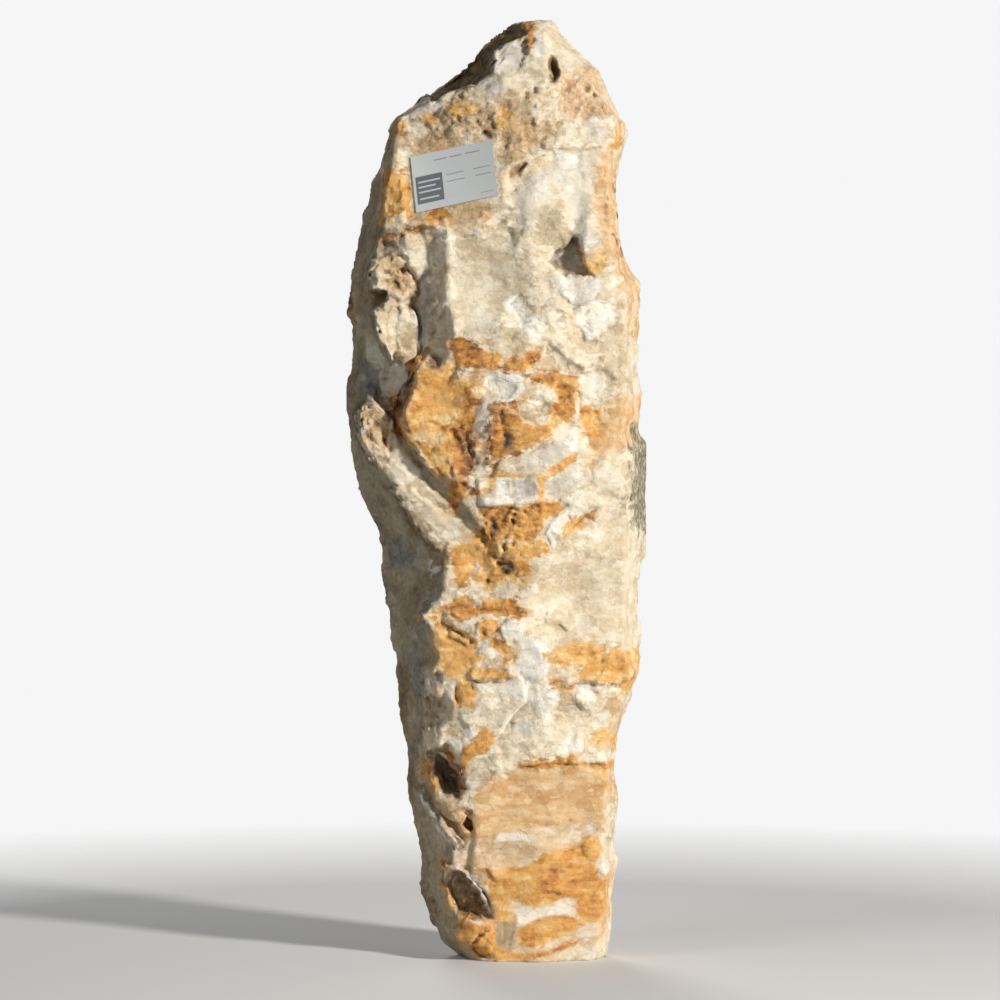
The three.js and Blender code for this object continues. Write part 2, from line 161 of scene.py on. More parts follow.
PEACH = [
    # the foot and its right side, and inside the horseshoe
    (0.25, [(-44, 152), (0, 160), (50, 160), (104, 158), (96, 140), (60, 122), (30, 114), (-40, 112)]),
    (0.4, [(-72, 200), (-44, 200), (-42, 170), (-54, 156), (-68, 172)]),
    (0.6, [(-40, 730), (-12, 729), (-12, 712), (-4, 698), (-20, 690), (-34, 700)]),
    (0.5, [(120, 118), (138, 116), (142, 70), (136, 20), (120, 24), (128, 64)]),
    (0.7, [(-34, 698), (-18, 690), (-4, 694), (2, 676), (0, 650), (-12, 624), (-26, 606), (-34, 630),
           (-26, 656)]),
    # the right edge and the fan on the right, and patches from below the card down to the foot
    (0.3, [(-108, 925), (-90, 930), (-62, 934), (-8, 944), (-2, 928), (-12, 908), (-44, 896), (-70, 900),
           (-96, 892), (-120, 890), (-116, 905)]),
    (0.6, [(122, 985), (134, 1000), (150, 990), (148, 930), (154, 886), (168, 862), (178, 838), (180, 770),
           (168, 760), (162, 800), (160, 832), (144, 850), (128, 880), (124, 900), (120, 940)]),
    (0.5, [(84, 1088), (110, 1100), (128, 1085), (142, 1050), (130, 1040), (104, 1048), (84, 1066)]),
    (0.7, [(136, 690), (160, 697), (180, 700), (180, 638), (160, 630), (140, 628), (122, 614), (110, 597),
           (102, 602), (110, 626), (120, 650), (130, 664)]),
    (0.5, [(-34, 700), (-10, 672), (-14, 655), (-30, 640), (-46, 640), (-40, 660), (-30, 676)]),
    (0.4, [(76, 560), (90, 556), (112, 556), (118, 546), (100, 538), (84, 528)]),
    (0.4, [(-56, 520), (-30, 530), (-16, 528), (-22, 516)]),
    (0.5, [(-72, 424), (-50, 420), (-30, 400), (-24, 388), (-50, 384), (-76, 396)]),
    (0.5, [(-80, 372), (-54, 356), (-50, 330), (-60, 312), (-76, 330)]),
    (0.4, [(142, 335), (160, 330), (150, 296), (146, 262), (138, 280), (142, 308)]),
    (0.8, [(-30, 206), (-14, 229), (12, 230), (34, 240), (90, 240), (142, 240), (142, 208), (130, 190),
           (132, 160), (118, 154), (104, 168), (60, 166), (20, 158), (-6, 150), (-34, 147), (-44, 156),
           (-28, 180)]),
    (0.8, [(-2, 46), (24, 58), (30, 40), (24, 12), (0, 14)]),
    (0.3, [(-48, 138), (-30, 142), (-34, 124), (-48, 122)]),
]

# Clear white crystal, and the greyer crystal and fresh chips round it.
WHITE = [
    [(-90, 1056), (-70, 1060), (-64, 1050), (-84, 1046)],
    [(31, 1138), (50, 1150), (62, 1141), (66, 1122), (58, 1110), (42, 1116)],
    [(84, 996), (98, 998), (100, 984), (90, 984)],
    [(108, 890), (118, 892), (122, 882), (114, 874), (107, 880)],
    [(92, 128), (98, 130), (104, 122), (94, 119)],
    [(76, 843), (92, 846), (98, 826), (94, 808), (84, 818)],
    [(100, 808), (118, 813), (140, 813), (145, 792), (130, 776), (114, 764), (99, 786)],
    [(8, 812), (20, 822), (30, 815), (44, 798), (60, 796), (62, 778), (50, 758), (40, 770), (22, 790)],
    [(-10, 729), (6, 727), (24, 724), (36, 716), (30, 700), (18, 691), (6, 690), (-4, 700), (-12, 712)],
    [(98, 718), (118, 724), (140, 713), (128, 696), (110, 682), (104, 690), (104, 706)],
    [(82, 648), (95, 655), (103, 642), (94, 630), (84, 636)],
    [(-26, 574), (-4, 573), (30, 573), (54, 576), (58, 567), (28, 561), (-22, 561)],
    [(0, 598), (14, 598), (16, 572), (-2, 572)],
    [(24, 597), (34, 597), (34, 572), (26, 572)],
    [(56, 604), (66, 612), (78, 600), (66, 590)],
    [(59, 530), (66, 542), (84, 558), (100, 567), (115, 573), (119, 566), (101, 550), (85, 536),
     (69, 514), (60, 516)],
    [(84, 574), (100, 580), (112, 574), (104, 564), (90, 564)],
    [(92, 600), (101, 618), (106, 608), (100, 592)],
    [(6, 422), (24, 424), (38, 414), (32, 398), (14, 396), (8, 406)],
    [(-30, 392), (-14, 399), (-8, 392), (4, 378), (-6, 370), (-14, 380)],
    [(28, 402), (46, 404), (62, 388), (72, 374), (60, 352), (34, 348), (22, 360), (30, 380)],
    [(96, 340), (112, 344), (120, 332), (116, 318), (104, 322)],
    [(-24, 345), (20, 348), (62, 350), (76, 330), (70, 300), (58, 296), (50, 310), (20, 330), (-20, 334)],
    [(-40, 284), (-28, 292), (-20, 282), (-32, 268)],
    [(78, 272), (94, 282), (108, 276), (106, 262), (84, 256), (62, 256)],
    [(112, 254), (128, 260), (146, 252), (128, 247)],
    [(-81, 493), (-72, 494), (-66, 484), (-70, 475), (-79, 478)],
    # these two thin strips on the shaded left face are partly painted highlight: the white of an edge that
    # catches the light
    [(-93, 206), (-88, 206), (-79, 192), (-73, 179), (-77, 178), (-85, 190)],
    [(-74, 169), (-69, 169), (-60, 155), (-49, 146), (-52, 143), (-64, 153)],
    [(-66, 350), (-60, 351), (-58, 330), (-62, 328), (-65, 338)],
    [(-4, 148), (4, 160), (28, 161), (48, 157), (48, 149), (22, 151)],
    [(62, 118), (70, 124), (76, 116), (68, 110)],
    [(124, 120), (136, 126), (138, 108), (130, 108)],
    [(20, 66), (34, 70), (40, 76), (50, 71), (70, 69), (84, 72), (96, 66), (84, 60), (66, 58),
     (52, 55), (40, 48), (24, 44), (26, 56)],
]

GREY = [
    [(-48, 120), (-38, 115), (-20, 97), (-4, 74), (0, 60), (-6, 60), (-14, 74), (-30, 94), (-46, 110)],
    [(54, 640), (74, 644), (96, 656), (106, 642), (98, 624), (78, 616), (58, 608), (50, 622)],
    [(60, 592), (84, 606), (102, 622), (108, 604), (98, 580), (80, 572), (60, 576)],
    [(110, 899), (119, 900), (124, 888), (118, 880), (110, 886)],
    [(66, 842), (90, 847), (126, 846), (128, 822), (116, 806), (96, 806), (84, 816), (70, 822)],
    # chips on the shaded left face
    [(-104, 408), (-94, 408), (-91, 398), (-98, 392)],
    [(-86, 452), (-76, 456), (-69, 448), (-76, 434), (-85, 436)],
    [(-71, 350), (-57, 352), (-50, 340), (-52, 318), (-64, 321), (-67, 336)],
    [(-6, 1118), (2, 1130), (20, 1136), (32, 1139), (38, 1122), (34, 1106), (18, 1096), (6, 1093),
     (-9, 1093), (-5, 1106)],
    [(-120, 1046), (-88, 1058), (-66, 1052), (-90, 1040), (-116, 1036)],
    [(-26, 1078), (-4, 1092), (12, 1088), (2, 1062), (-10, 1064)],
    [(116, 1044), (134, 1034), (134, 1012), (120, 1004), (112, 1024)],
    [(72, 996), (98, 999), (122, 997), (118, 972), (112, 940), (112, 905), (126, 880), (112, 872), (96, 905),
     (88, 935), (76, 960), (62, 975)],
    [(18, 950), (38, 964), (60, 978), (66, 950), (56, 920), (36, 900), (22, 912)],
    [(-4, 660), (2, 696), (-12, 700), (-24, 696), (-20, 670), (-20, 655), (-8, 640)],
    [(-40, 632), (-22, 628), (-20, 606), (-30, 600), (-40, 604)],
    [(34, 632), (54, 632), (56, 606), (34, 604)],
    [(-6, 594), (20, 598), (48, 596), (54, 574), (6, 572), (-8, 576)],
    [(0, 462), (14, 464), (20, 456), (6, 450)],
    [(108, 174), (118, 178), (124, 162), (116, 154), (110, 160)],
    [(-123, 718), (-116, 722), (-111, 702), (-117, 694)],
    [(-78, 356), (-60, 352), (-48, 344), (-44, 326), (-56, 322), (-66, 334)],
    [(-30, 318), (-14, 322), (-8, 306), (-24, 298)],
    [(30, 300), (52, 296), (50, 276), (32, 280)],
]

# Dull tan-brown faces, most of them painted shade: the shade band beside the long ridge, the tooth, the
# slope in half shade left of the nose, the shaded strips along the creases, the shadowed triangle above the
# crust, and a face on the foot.
BEIGE_AND_SHADE = [
    [(-106, 632), (-84, 612), (-60, 594), (-54, 566), (-30, 538), (-50, 548), (-66, 566), (-88, 598),
     (-102, 616)],
    [(-112, 796), (-104, 790), (-99, 757), (-106, 738), (-112, 750), (-116, 768)],
    [(-4, 50), (22, 50), (30, 30), (20, 14), (0, 18), (-6, 32)],
    [(44, 920), (60, 932), (92, 900), (98, 880), (78, 872), (56, 892)],
    [(58, 769), (72, 760), (90, 744), (109, 728), (104, 722), (84, 735), (68, 748)],
    [(122, 732), (138, 728), (152, 718), (146, 714), (130, 722)],
    [(58, 800), (72, 792), (64, 774), (54, 780)],
    [(-140, 884), (-124, 886), (-114, 868), (-134, 864)],
]

# Coarse outer crust: tan and granular, cavernous in places, and pink and pitted like a sponge.
NODULE = [(-166, 676), (-152, 686), (-138, 670), (-128, 650), (-128, 630), (-136, 614), (-152, 622),
          (-166, 642)]
TAN_CRUST = [
    [(-112, 1038), (-90, 1040), (-62, 1062), (-40, 1076), (-24, 1064), (0, 1060), (40, 1066), (80, 1062),
     (84, 1036), (72, 1004), (34, 990), (6, 974), (0, 1012), (-60, 1000), (-104, 990)],
    [(2, 974), (34, 990), (30, 958), (10, 934), (0, 930)],
    [(-150, 834), (-147, 862), (-128, 872), (-108, 860), (-96, 840), (-99, 820), (-130, 820)],
    NODULE,
    [(-188, 850), (-172, 856), (-168, 830), (-164, 810), (-168, 786), (-188, 790)],
    [(-20, 560), (-8, 552), (0, 520), (-10, 516), (-24, 530)],
]
COARSE = [
    [(-150, 834), (-147, 862), (-128, 872), (-108, 860), (-96, 840), (-99, 820), (-130, 818), (-160, 806)],
    NODULE,
    [(-60, 1030), (-40, 1050), (-10, 1040), (0, 1000), (-4, 960), (-40, 1000)],
    [(-14, 558), (30, 560), (48, 536), (42, 502), (26, 474), (4, 452), (-14, 462), (-20, 506)],
    [(-60, 94), (-48, 112), (-30, 94), (-12, 76), (-10, 58), (-48, 60)],
]
PINK_CRUST = [
    [(80, 1086), (100, 1094), (124, 1092), (142, 1056), (150, 1036), (122, 1040), (104, 1038), (84, 1042)],
]

# Soil and old dirt in the open hollows. Where the hollows and the left shoulder lie in shadow, their dark
# brown is partly painted shade.
SOIL_AND_SHADE = [
    # the hollow left shoulder
    [(30, 1160), (34, 1141), (2, 1130), (-8, 1116), (-8, 1094), (-26, 1078), (-44, 1078), (-70, 1064),
     (-104, 1058), (-140, 1040), (-130, 1075), (-40, 1150), (0, 1170)],
    # beside the horseshoe
    [(-84, 742), (-74, 746), (-62, 742), (-60, 736), (-74, 730), (-82, 734)],
    [(-110, 738), (-106, 724), (-105, 706), (-109, 700), (-112, 712)],
    # under the nodule and behind the left edge
    [(-150, 826), (-134, 820), (-140, 806), (-152, 808)],
    [(-188, 846), (-178, 850), (-176, 830), (-178, 800), (-188, 796)],
    # the hollow beside the foot slab
    [(-58, 110), (-46, 112), (-28, 92), (-14, 74), (-12, 62), (-44, 64), (-56, 86)],
    # pits in the horseshoe and the column below it
    [(8, 652), (16, 656), (22, 642), (20, 632), (10, 634)],
    [(4, 682), (8, 682), (10, 664), (6, 662)],
    [(-6, 548), (0, 546), (3, 530), (-4, 526)],
    [(6, 518), (14, 520), (16, 510), (8, 506)],
    [(8, 492), (16, 496), (18, 482), (10, 480)],
    # the slot and the flutes near the tip
    [(64, 1114), (71, 1118), (76, 1098), (75, 1083), (67, 1086)],
    # the sockets beside the foot slab
    [(-80, 258), (-70, 254), (-60, 243), (-52, 232), (-41, 215), (-46, 203), (-64, 204), (-69, 217),
     (-75, 232)],
    [(-62, 160), (-54, 158), (-45, 148), (-43, 142), (-52, 146)],
    [(-66, 104), (-56, 104), (-44, 84), (-50, 68), (-58, 84)],
]

# A skin of lichen down the right side.
LICHEN = [
    [(164, 655), (174, 664), (192, 640), (192, 530), (178, 522), (168, 540), (160, 570), (168, 600),
     (162, 628)],
]

# Blue-grey patches are painted shade, the cool tint of shadow: on the nose's shadow triangle, in the
# channel and over the shaded left face.
SLATE_AND_SHADE = [
    [(70, 864), (90, 888), (101, 891), (105, 874), (111, 848), (87, 848)],
    [(-96, 846), (-82, 850), (-77, 800), (-88, 762), (-102, 780), (-105, 806)],
    [(-135, 514), (-112, 514), (-100, 500), (-103, 482), (-122, 482), (-132, 494)],
    [(-97, 436), (-85, 432), (-84, 404), (-92, 392), (-99, 410)],
    [(-76, 190), (-70, 190), (-58, 173), (-46, 157), (-50, 150), (-62, 162), (-72, 178)],
    [(-166, 740), (-150, 736), (-140, 700), (-150, 684), (-164, 700)],
    [(-150, 470), (-138, 470), (-134, 440), (-146, 440)],
    [(-108, 392), (-98, 386), (-88, 340), (-94, 320), (-104, 350)],
]
# Dark brown patches on the shaded left face, mostly the stone's own stains; in the shadowed socket beside the
# foot the brown is painted shade.
UMBER_AND_SHADE = [
    [(-62, 96), (-56, 114), (-46, 116), (-30, 96), (-12, 78), (-8, 56), (-38, 60), (-52, 60)],
    [(-120, 582), (-104, 560), (-86, 534), (-68, 512), (-58, 488), (-66, 480), (-84, 508), (-104, 530),
     (-122, 560)],
    [(-124, 366), (-110, 362), (-106, 330), (-110, 298), (-122, 300)],
    [(-88, 330), (-66, 326), (-66, 300), (-86, 300)],
    [(-114, 238), (-98, 232), (-92, 206), (-104, 198), (-114, 212)],
    [(-96, 88), (-80, 84), (-72, 50), (-76, 24), (-92, 40)],
    [(-172, 690), (-160, 690), (-158, 650), (-168, 646)],
]

# Here the edges of marks follow the breaks and don't wander.
CRISP = [
    [(-40, 362), (-22, 372), (4, 368), (30, 358), (12, 344), (-10, 340), (-32, 344)],
    [(74, 850), (128, 852), (150, 804), (146, 780), (112, 756), (96, 788), (108, 806), (70, 824)],
    [(-8, 1120), (10, 1138), (40, 1138), (44, 1116), (30, 1090), (-10, 1090)],
    [(-28, 604), (60, 604), (60, 562), (-28, 560)],
    [(-30, 214), (6, 236), (34, 246), (68, 250), (150, 248), (150, 236), (34, 236), (6, 226)],
    [(-30, 160), (60, 170), (138, 160), (142, 0), (0, 0), (-20, 60)],
]

# Breaks with hardly a facet: the big scoop, the shell-shaped scar, the foot slab, the tooth, the tip,
# the long bank, the left lobe, the right fan, the foot's front and the face to the right of the card.
SMOOTH = [
    [(-50, 886), (0, 890), (24, 880), (36, 850), (30, 812), (-10, 784), (-46, 780), (-54, 820)],
    [(44, 480), (80, 492), (130, 500), (176, 480), (178, 400), (120, 398), (60, 412), (36, 440)],
    [(-30, 206), (-14, 229), (34, 240), (142, 238), (132, 160), (60, 166), (-6, 150), (-34, 147)],
    [(-144, 790), (-132, 814), (-112, 812), (-98, 790), (-104, 764), (-122, 752), (-140, 764)],
    [(-2, 1120), (13, 1132), (35, 1134), (39, 1118), (29, 1103), (23, 1093), (-4, 1094)],
    [(-150, 640), (-116, 640), (-88, 600), (-60, 552), (-20, 536), (-16, 514), (-60, 514), (-88, 524),
     (-116, 566), (-144, 612)],
    [(-90, 720), (-60, 716), (-44, 704), (-44, 676), (-60, 664), (-90, 664)],
    [(120, 590), (140, 690), (180, 700), (180, 520), (130, 510)],
    [(-30, 160), (60, 170), (138, 160), (142, 0), (-30, 0), (-52, 30), (-44, 60), (-10, 60)],
    [(50, 940), (60, 985), (118, 992), (118, 940), (96, 900), (70, 900)],
]

# Zones of fine folds, each with the angle that they run at.
FOLDS = [
    (-62, [(-64, 660), (-48, 664), (-34, 640), (-24, 600), (-30, 578), (-56, 590), (-66, 630)]),
    (56, [(-34, 698), (-10, 700), (6, 684), (0, 648), (-16, 612), (-28, 606), (-34, 650)]),
    (-55, [(40, 924), (64, 936), (98, 900), (100, 876), (76, 868), (50, 892)]),
    (-42, [(-150, 640), (-120, 650), (-60, 590), (-40, 540), (-60, 500), (-110, 570)]),
    (80, [(-8, 52), (24, 52), (30, 20), (0, 12)]),
    (60, [(112, 600), (140, 690), (180, 700), (180, 640), (140, 610)]),
]


# ---- The stone: noise ----
# Split onyx is uneven at every size, in swells, flat faces, shells and pits. These give the height of each
# kind at any points of it, and always the same height at the same place.

AXIS_PRIMES = (73856093, 19349663, 83492791)
SEED_PRIME = 7919
STIRS = ((15, 2246822519), (13, 3266489917))  # shift, odd factor
TEN_BITS = 1023


def scramble(cells, seed):
    """Three repeatable numbers from 0 to 1 for each whole-numbered cell."""
    x, y, z = (cells[:, i].astype(np.int64).astype(np.uint32) * np.uint32(AXIS_PRIMES[i]) for i in range(3))
    h = x ^ y ^ z ^ np.uint32(seed * SEED_PRIME)
    for shift, factor in STIRS * 2:
        h = (h ^ (h >> np.uint32(shift))) * np.uint32(factor)
    h = h ^ (h >> np.uint32(16))
    return np.stack([(h >> np.uint32(s)) & np.uint32(TEN_BITS) for s in (0, 10, 20)], axis=1) / TEN_BITS


def swell(points, size, seed=0):
    """Smooth noise from about -1 to 1, with swells of the given size."""
    p = points / size
    cell = np.floor(p)
    part = p - cell
    blend = part * part * part * (part * (part * 6 - 15) + 10)
    total = np.zeros(len(p))
    for corner in np.ndindex(2, 2, 2):
        slope = scramble(cell + corner, seed) * 2 - 1
        height = np.einsum("ij,ij->i", slope, part - corner)
        weight = np.prod(np.where(corner, blend, 1 - blend), axis=1)
        total += weight * height
    return total * 1.6


def rough(points, size, seed=0, octaves=4):
    """Swells on swells, each half the size and half the height of the last."""
    return sum(swell(points, size / 2**i, seed + i) / 2**i for i in range(octaves))


def cells_near(points, size, seed, shape):
    """For the 27 cells around each point, a surface's height above that cell, as rows."""
    p = points / size
    cell = np.floor(p)
    rows = []
    for step in np.ndindex(3, 3, 3):
        near = cell + step - 1
        away = p - near - scramble(near, seed)
        face = scramble(near, seed + 50) * 2 - 1
        rows.append(shape(away, face))
    return np.array(rows)


def facets(points, size, seed=0, sharp=60.0, tilt=1.0):
    """Heights from about -1 to 1 of flat broken faces of the given size, each tilted its own way."""
    rows = cells_near(points, size, seed, lambda away, face: (
        np.einsum("ij,ij->i", away, away),
        tilt * np.einsum("ij,ij->i", away, face) + 0.5 * face[:, 0]))
    gap, level = rows[:, 0], rows[:, 1]
    weight = np.exp(-sharp * (gap - gap.min(axis=0)))
    return (weight * level).sum(axis=0) / weight.sum(axis=0)


def chips(points, size, seed=0, tilt=0.9):
    """Heights from about -1 to 1 of shell-shaped chips of the given size, which meet in sharp ridges."""
    bowls = cells_near(points, size, seed, lambda away, face: (
        2.2 * np.einsum("ij,ij->i", away, away)
        + tilt * np.einsum("ij,ij->i", away, face)
        + 0.35 * face[:, 1]))
    return np.clip(bowls.min(axis=0) - 0.55, -1, 1.2)


def holes(points, size, share, seed=0):
    """From 0 to 1, how deep in a pit each point is. A share of the cells of this size holds a pit."""
    p = points / size
    cell = np.floor(p)
    deepest = np.zeros(len(p))
    for step in np.ndindex(3, 3, 3):
        near = cell + step - 1
        middle = near + scramble(near, seed)
        draw = scramble(near, seed + 50)
        radius = 0.25 + 0.3 * draw[:, 1]
        gap = np.linalg.norm(p - middle, axis=1) / radius
        deepest = np.maximum(deepest, np.where(draw[:, 0] < share, np.clip(1 - gap * gap, 0, 1), 0))
    return deepest


def turned(points, degrees, stretch):
    """Points seen in a grain that runs upwards to the right at an angle, longer along it by a factor."""
    a = math.radians(degrees)
    along = points[:, 0] * math.cos(a) + points[:, 2] * math.sin(a)
    across = points[:, 2] * math.cos(a) - points[:, 0] * math.sin(a)
    return np.stack([along / stretch, points[:, 1], across], axis=1)


def ease(low, high, values):
    """0 at low, 1 at high and smooth between them. Low may be the larger of the two."""
    t = np.clip((values - low) / (high - low), 0, 1)
    return t * t * (3 - 2 * t)


# ---- The stone: outlines ----
# Each mark and each break on the front has a line or a closed outline of straight sides. These tell how far
# each point of the stone is from one, and on which side of it.

def to_segments(flat, outline, closed):
    """The distance from each point to an outline's nearest side, that side's place and the gap vector."""
    corners = np.array(outline, float)
    ends = np.roll(corners, -1, axis=0) if closed else corners[1:]
    starts = corners if closed else corners[:-1]
    best = np.full(len(flat), np.inf)
    side, share = np.zeros(len(flat), int), np.zeros(len(flat))
    for i, (a, b) in enumerate(zip(starts, ends)):
        t = np.clip((flat - a) @ (b - a) / max((b - a) @ (b - a), 1e-9), 0, 1)
        gap = np.linalg.norm(flat - a - t[:, None] * (b - a), axis=1)
        closer = gap < best
        best[closer], side[closer], share[closer] = gap[closer], i, t[closer]
    return best, side, share


def inside_by(flat, outline):
    """How far inside an outline each point is, in mm, and below 0 outside it."""
    gap, _, _ = to_segments(flat, outline, closed=True)
    x, z = flat.T
    inside = np.zeros(len(flat), bool)
    corners = np.array(outline, float)
    for (x0, z0), (x1, z1) in zip(corners, np.roll(corners, -1, axis=0)):
        crosses = (z0 > z) != (z1 > z)
        if z1 != z0:
            inside ^= crosses & (x < x0 + (z - z0) * (x1 - x0) / (z1 - z0))
    return np.where(inside, gap, -gap)


def patchwork(flat, outlines):
    """How far inside any of several outlines each point is."""
    return np.max([inside_by(flat, outline) for outline in outlines], axis=0)


# ---- The stone: its forms ----
# The larger breaks of the front: bowls, lumps, steps, ridges, slabs, flat breaks and cracks. All heights
# are towards the front, and a minus sign cuts in.

def dish(flat, at, half, turn, depth):
    """A shell-shaped scar: a shallow bowl with a crisp rim."""
    a = math.radians(turn)
    x, z = (flat - at).T
    u = (x * math.cos(a) + z * math.sin(a)) / half[0]
    v = (z * math.cos(a) - x * math.sin(a)) / half[1]
    return -depth * np.clip(1 - u * u - v * v, 0, 1)


def knob(flat, at, half, turn, height):
    """A rounded lump with a steep edge."""
    return np.sqrt(np.clip(dish(flat, at, half, turn, -height) / height, 0, 1)) * height


def along_line(flat, line):
    """From a line: the distance, how far along it from 0 to 1, and 1 on its left or -1 on its right."""
    gap, side, share = to_segments(flat, line, closed=False)
    corners = np.array(line, float)
    run = np.diff(corners, axis=0)
    away = flat - corners[side] - share[:, None] * run[side]
    left = np.sign(run[side, 0] * away[:, 1] - run[side, 1] * away[:, 0])
    return gap, (side + share) / len(run), left


def between(heights, along):
    """The height at each place along a line, from one height for all of it or several spread evenly."""
    heights = heights if isinstance(heights, tuple) else (heights, heights)
    return np.interp(along, np.linspace(0, 1, len(heights)), heights)


def ledge(flat, line, height, reach, soft=1.5):
    """A step along a line. The side on the line's left stands proud, and falls away over its reach."""
    gap, along, left = along_line(flat, line)
    ends = np.minimum(ease(0, 0.12, along), ease(0, 0.12, 1 - along))
    fall = np.clip(1 - (gap / reach) ** 2, 0, 1) ** 2
    return between(height, along) * ends * ease(-soft, soft, left * gap) * fall


def crest(flat, line, height, left_reach, right_reach):
    """A ridge along a line with a slope of its own on each side."""
    gap, along, left = along_line(flat, line)
    ends = np.minimum(ease(0, 0.12, along), ease(0, 0.12, 1 - along))
    slope = np.where(left > 0, left_reach, right_reach)
    return between(height, along) * ends * np.clip(1 - gap / slope, 0, 1)


def block(flat, outline, height, lean=(0, 0), soft=1.5):
    """A piece that stands proud inside an outline. Its flat top rises to the right and up by its lean."""
    middle = np.mean(outline, axis=0)
    top = height + (flat - middle) @ np.array(lean)
    return ease(-soft, soft, inside_by(flat, outline)) * top


def facet(flat, forward, outline, place, out, lean=(0, 0), soft=2.5):
    """How far to move what stands so far forward, to bring it to one flat break through a place."""
    plane = out + (flat - np.array(place)) @ np.array(lean)
    return ease(-soft, soft, inside_by(flat, outline)) * (plane - forward)


def crack(flat, line, depth, width):
    """A groove with sloping sides along a line, which thins out at its ends."""
    gap, along, _ = along_line(flat, line)
    ends = np.minimum(ease(0, 0.35, along), ease(0, 0.35, 1 - along))
    return -depth * ends * np.clip(1 - gap / (width * (0.4 + 0.6 * ends)), 0, 1)


DISHES = [
    # place, half sizes, turn, depth
    ((-8, 838), (62, 56), -10, 9),
    ((14, 905), (34, 26), 35, 5),
    ((38, 800), (34, 26), 40, 5),
    ((82, 868), (26, 22), -20, 6),
    ((108, 938), (22, 56), -4, 5),
    ((60, 930), (22, 40), -25, 5),
    ((112, 448), (70, 52), 12, 10),
    ((88, 530), (50, 26), 38, 6),
    ((146, 530), (26, 34), 0, 4),
    ((44, 682), (24, 20), -20, 6),
    ((-62, 690), (44, 34), -20, 5),
    ((4, 706), (30, 18), -25, 4),
    ((118, 704), (24, 18), 0, 4),
    ((30, 585), (28, 17), 0, 4),
    ((146, 660), (46, 34), 30, 5),
    ((-10, 480), (30, 30), 0, 5),
    ((-52, 410), (30, 18), -32, 6),
    ((-10, 355), (34, 10), 4, 4),
    ((10, 300), (48, 34), 10, 6),
    ((100, 305), (46, 18), 5, 5),
    ((110, 366), (50, 16), 8, 5),
    ((50, 200), (90, 46), 2, 4),
    ((14, 128), (60, 22), -8, 4),
    ((60, 64), (60, 16), 6, 3),
    ((71, 1100), (5, 17), 8, 11),
    ((-34, 1110), (44, 22), 42, 8),
    ((105, 1120), (40, 22), -50, 4),
    ((-120, 1000), (22, 40), 10, 4),
]
KNOBS = [
    # place, half sizes, turn, height
    ((-146, 652), (17, 34), 24, 9),
    ((-26, 32), (24, 27), 20, 7),
    ((116, 141), (13, 13), 0, 4),
    ((42, 682), (14, 12), 0, 5),
    ((-14, 412), (12, 12), 0, 4),
    ((176, 560), (14, 60), 0, 5),
]
LEDGES = [
    # line, height or heights along it, reach, and sometimes softness of the edge
    ([(54, 1002), (76, 999), (108, 1000), (136, 1006)], 5, 40),
    ([(0, 966), (14, 974), (30, 984), (44, 990)], 7, 30),
    ([(-140, 888), (-118, 898), (-92, 906), (-70, 902)], 6, 30),
    ([(60, 766), (79, 748), (92, 738), (107, 726)], 3.5, 26, 3),
    ([(124, 731), (138, 726), (150, 718)], 3, 20, 2.5),
    ([(-54, 732), (-30, 728), (0, 727), (26, 724), (46, 726)], 4, 20),
    ([(-100, 752), (-104, 728), (-103, 706), (-112, 690), (-115, 668), (-108, 652)], (4, 10), 60),
    ([(-6, 640), (-3, 660), (0, 682), (2, 694)], 3.5, 30),
    ([(36, 702), (44, 708), (42, 722)], 5, 20),
    ([(98, 662), (102, 684), (100, 704)], 5, 22),
    ([(-16, 606), (0, 617), (20, 627), (46, 631), (66, 640), (76, 656)], 6, 24),
    ([(-58, 594), (-36, 588), (-20, 577)], 5, 22),
    ([(-130, 588), (-106, 584), (-89, 574), (-59, 548)], 4, 16),
    ([(-24, 564), (2, 561), (30, 562), (54, 566)], 5, 18),
    ([(-70, 424), (-52, 412), (-36, 402), (-22, 396)], 7, 26),
    ([(-60, 404), (-44, 396), (-34, 392)], 5, 18),
    ([(74, 518), (92, 536), (116, 556), (134, 566)], 6, 30),
    ([(110, 500), (132, 498), (156, 512)], 2, 30),
    ([(58, 420), (78, 418), (90, 408)], 4, 24),
    ([(-40, 350), (-16, 347), (8, 350), (24, 356)], 5, 20),
    ([(76, 343), (106, 345), (150, 344), (172, 356)], 6, 24),
    ([(-34, 216), (6, 234), (34, 243), (68, 247), (110, 246), (150, 244)], (1, 9), 60),
    ([(-12, 117), (-4, 106), (-2, 100)], 4, 20),
]
CRESTS = [
    # line, height, reach on its left, reach on its right
    ([(-135, 893), (-137, 920), (-134, 967), (-128, 1000), (-122, 1044)], 12, 6, 60),
    ([(-95, 212), (-90, 203), (-82, 190), (-75, 177), (-64, 161), (-50, 145), (-46, 139)],
     (20, 18, 15, 8), 9, 7),
]
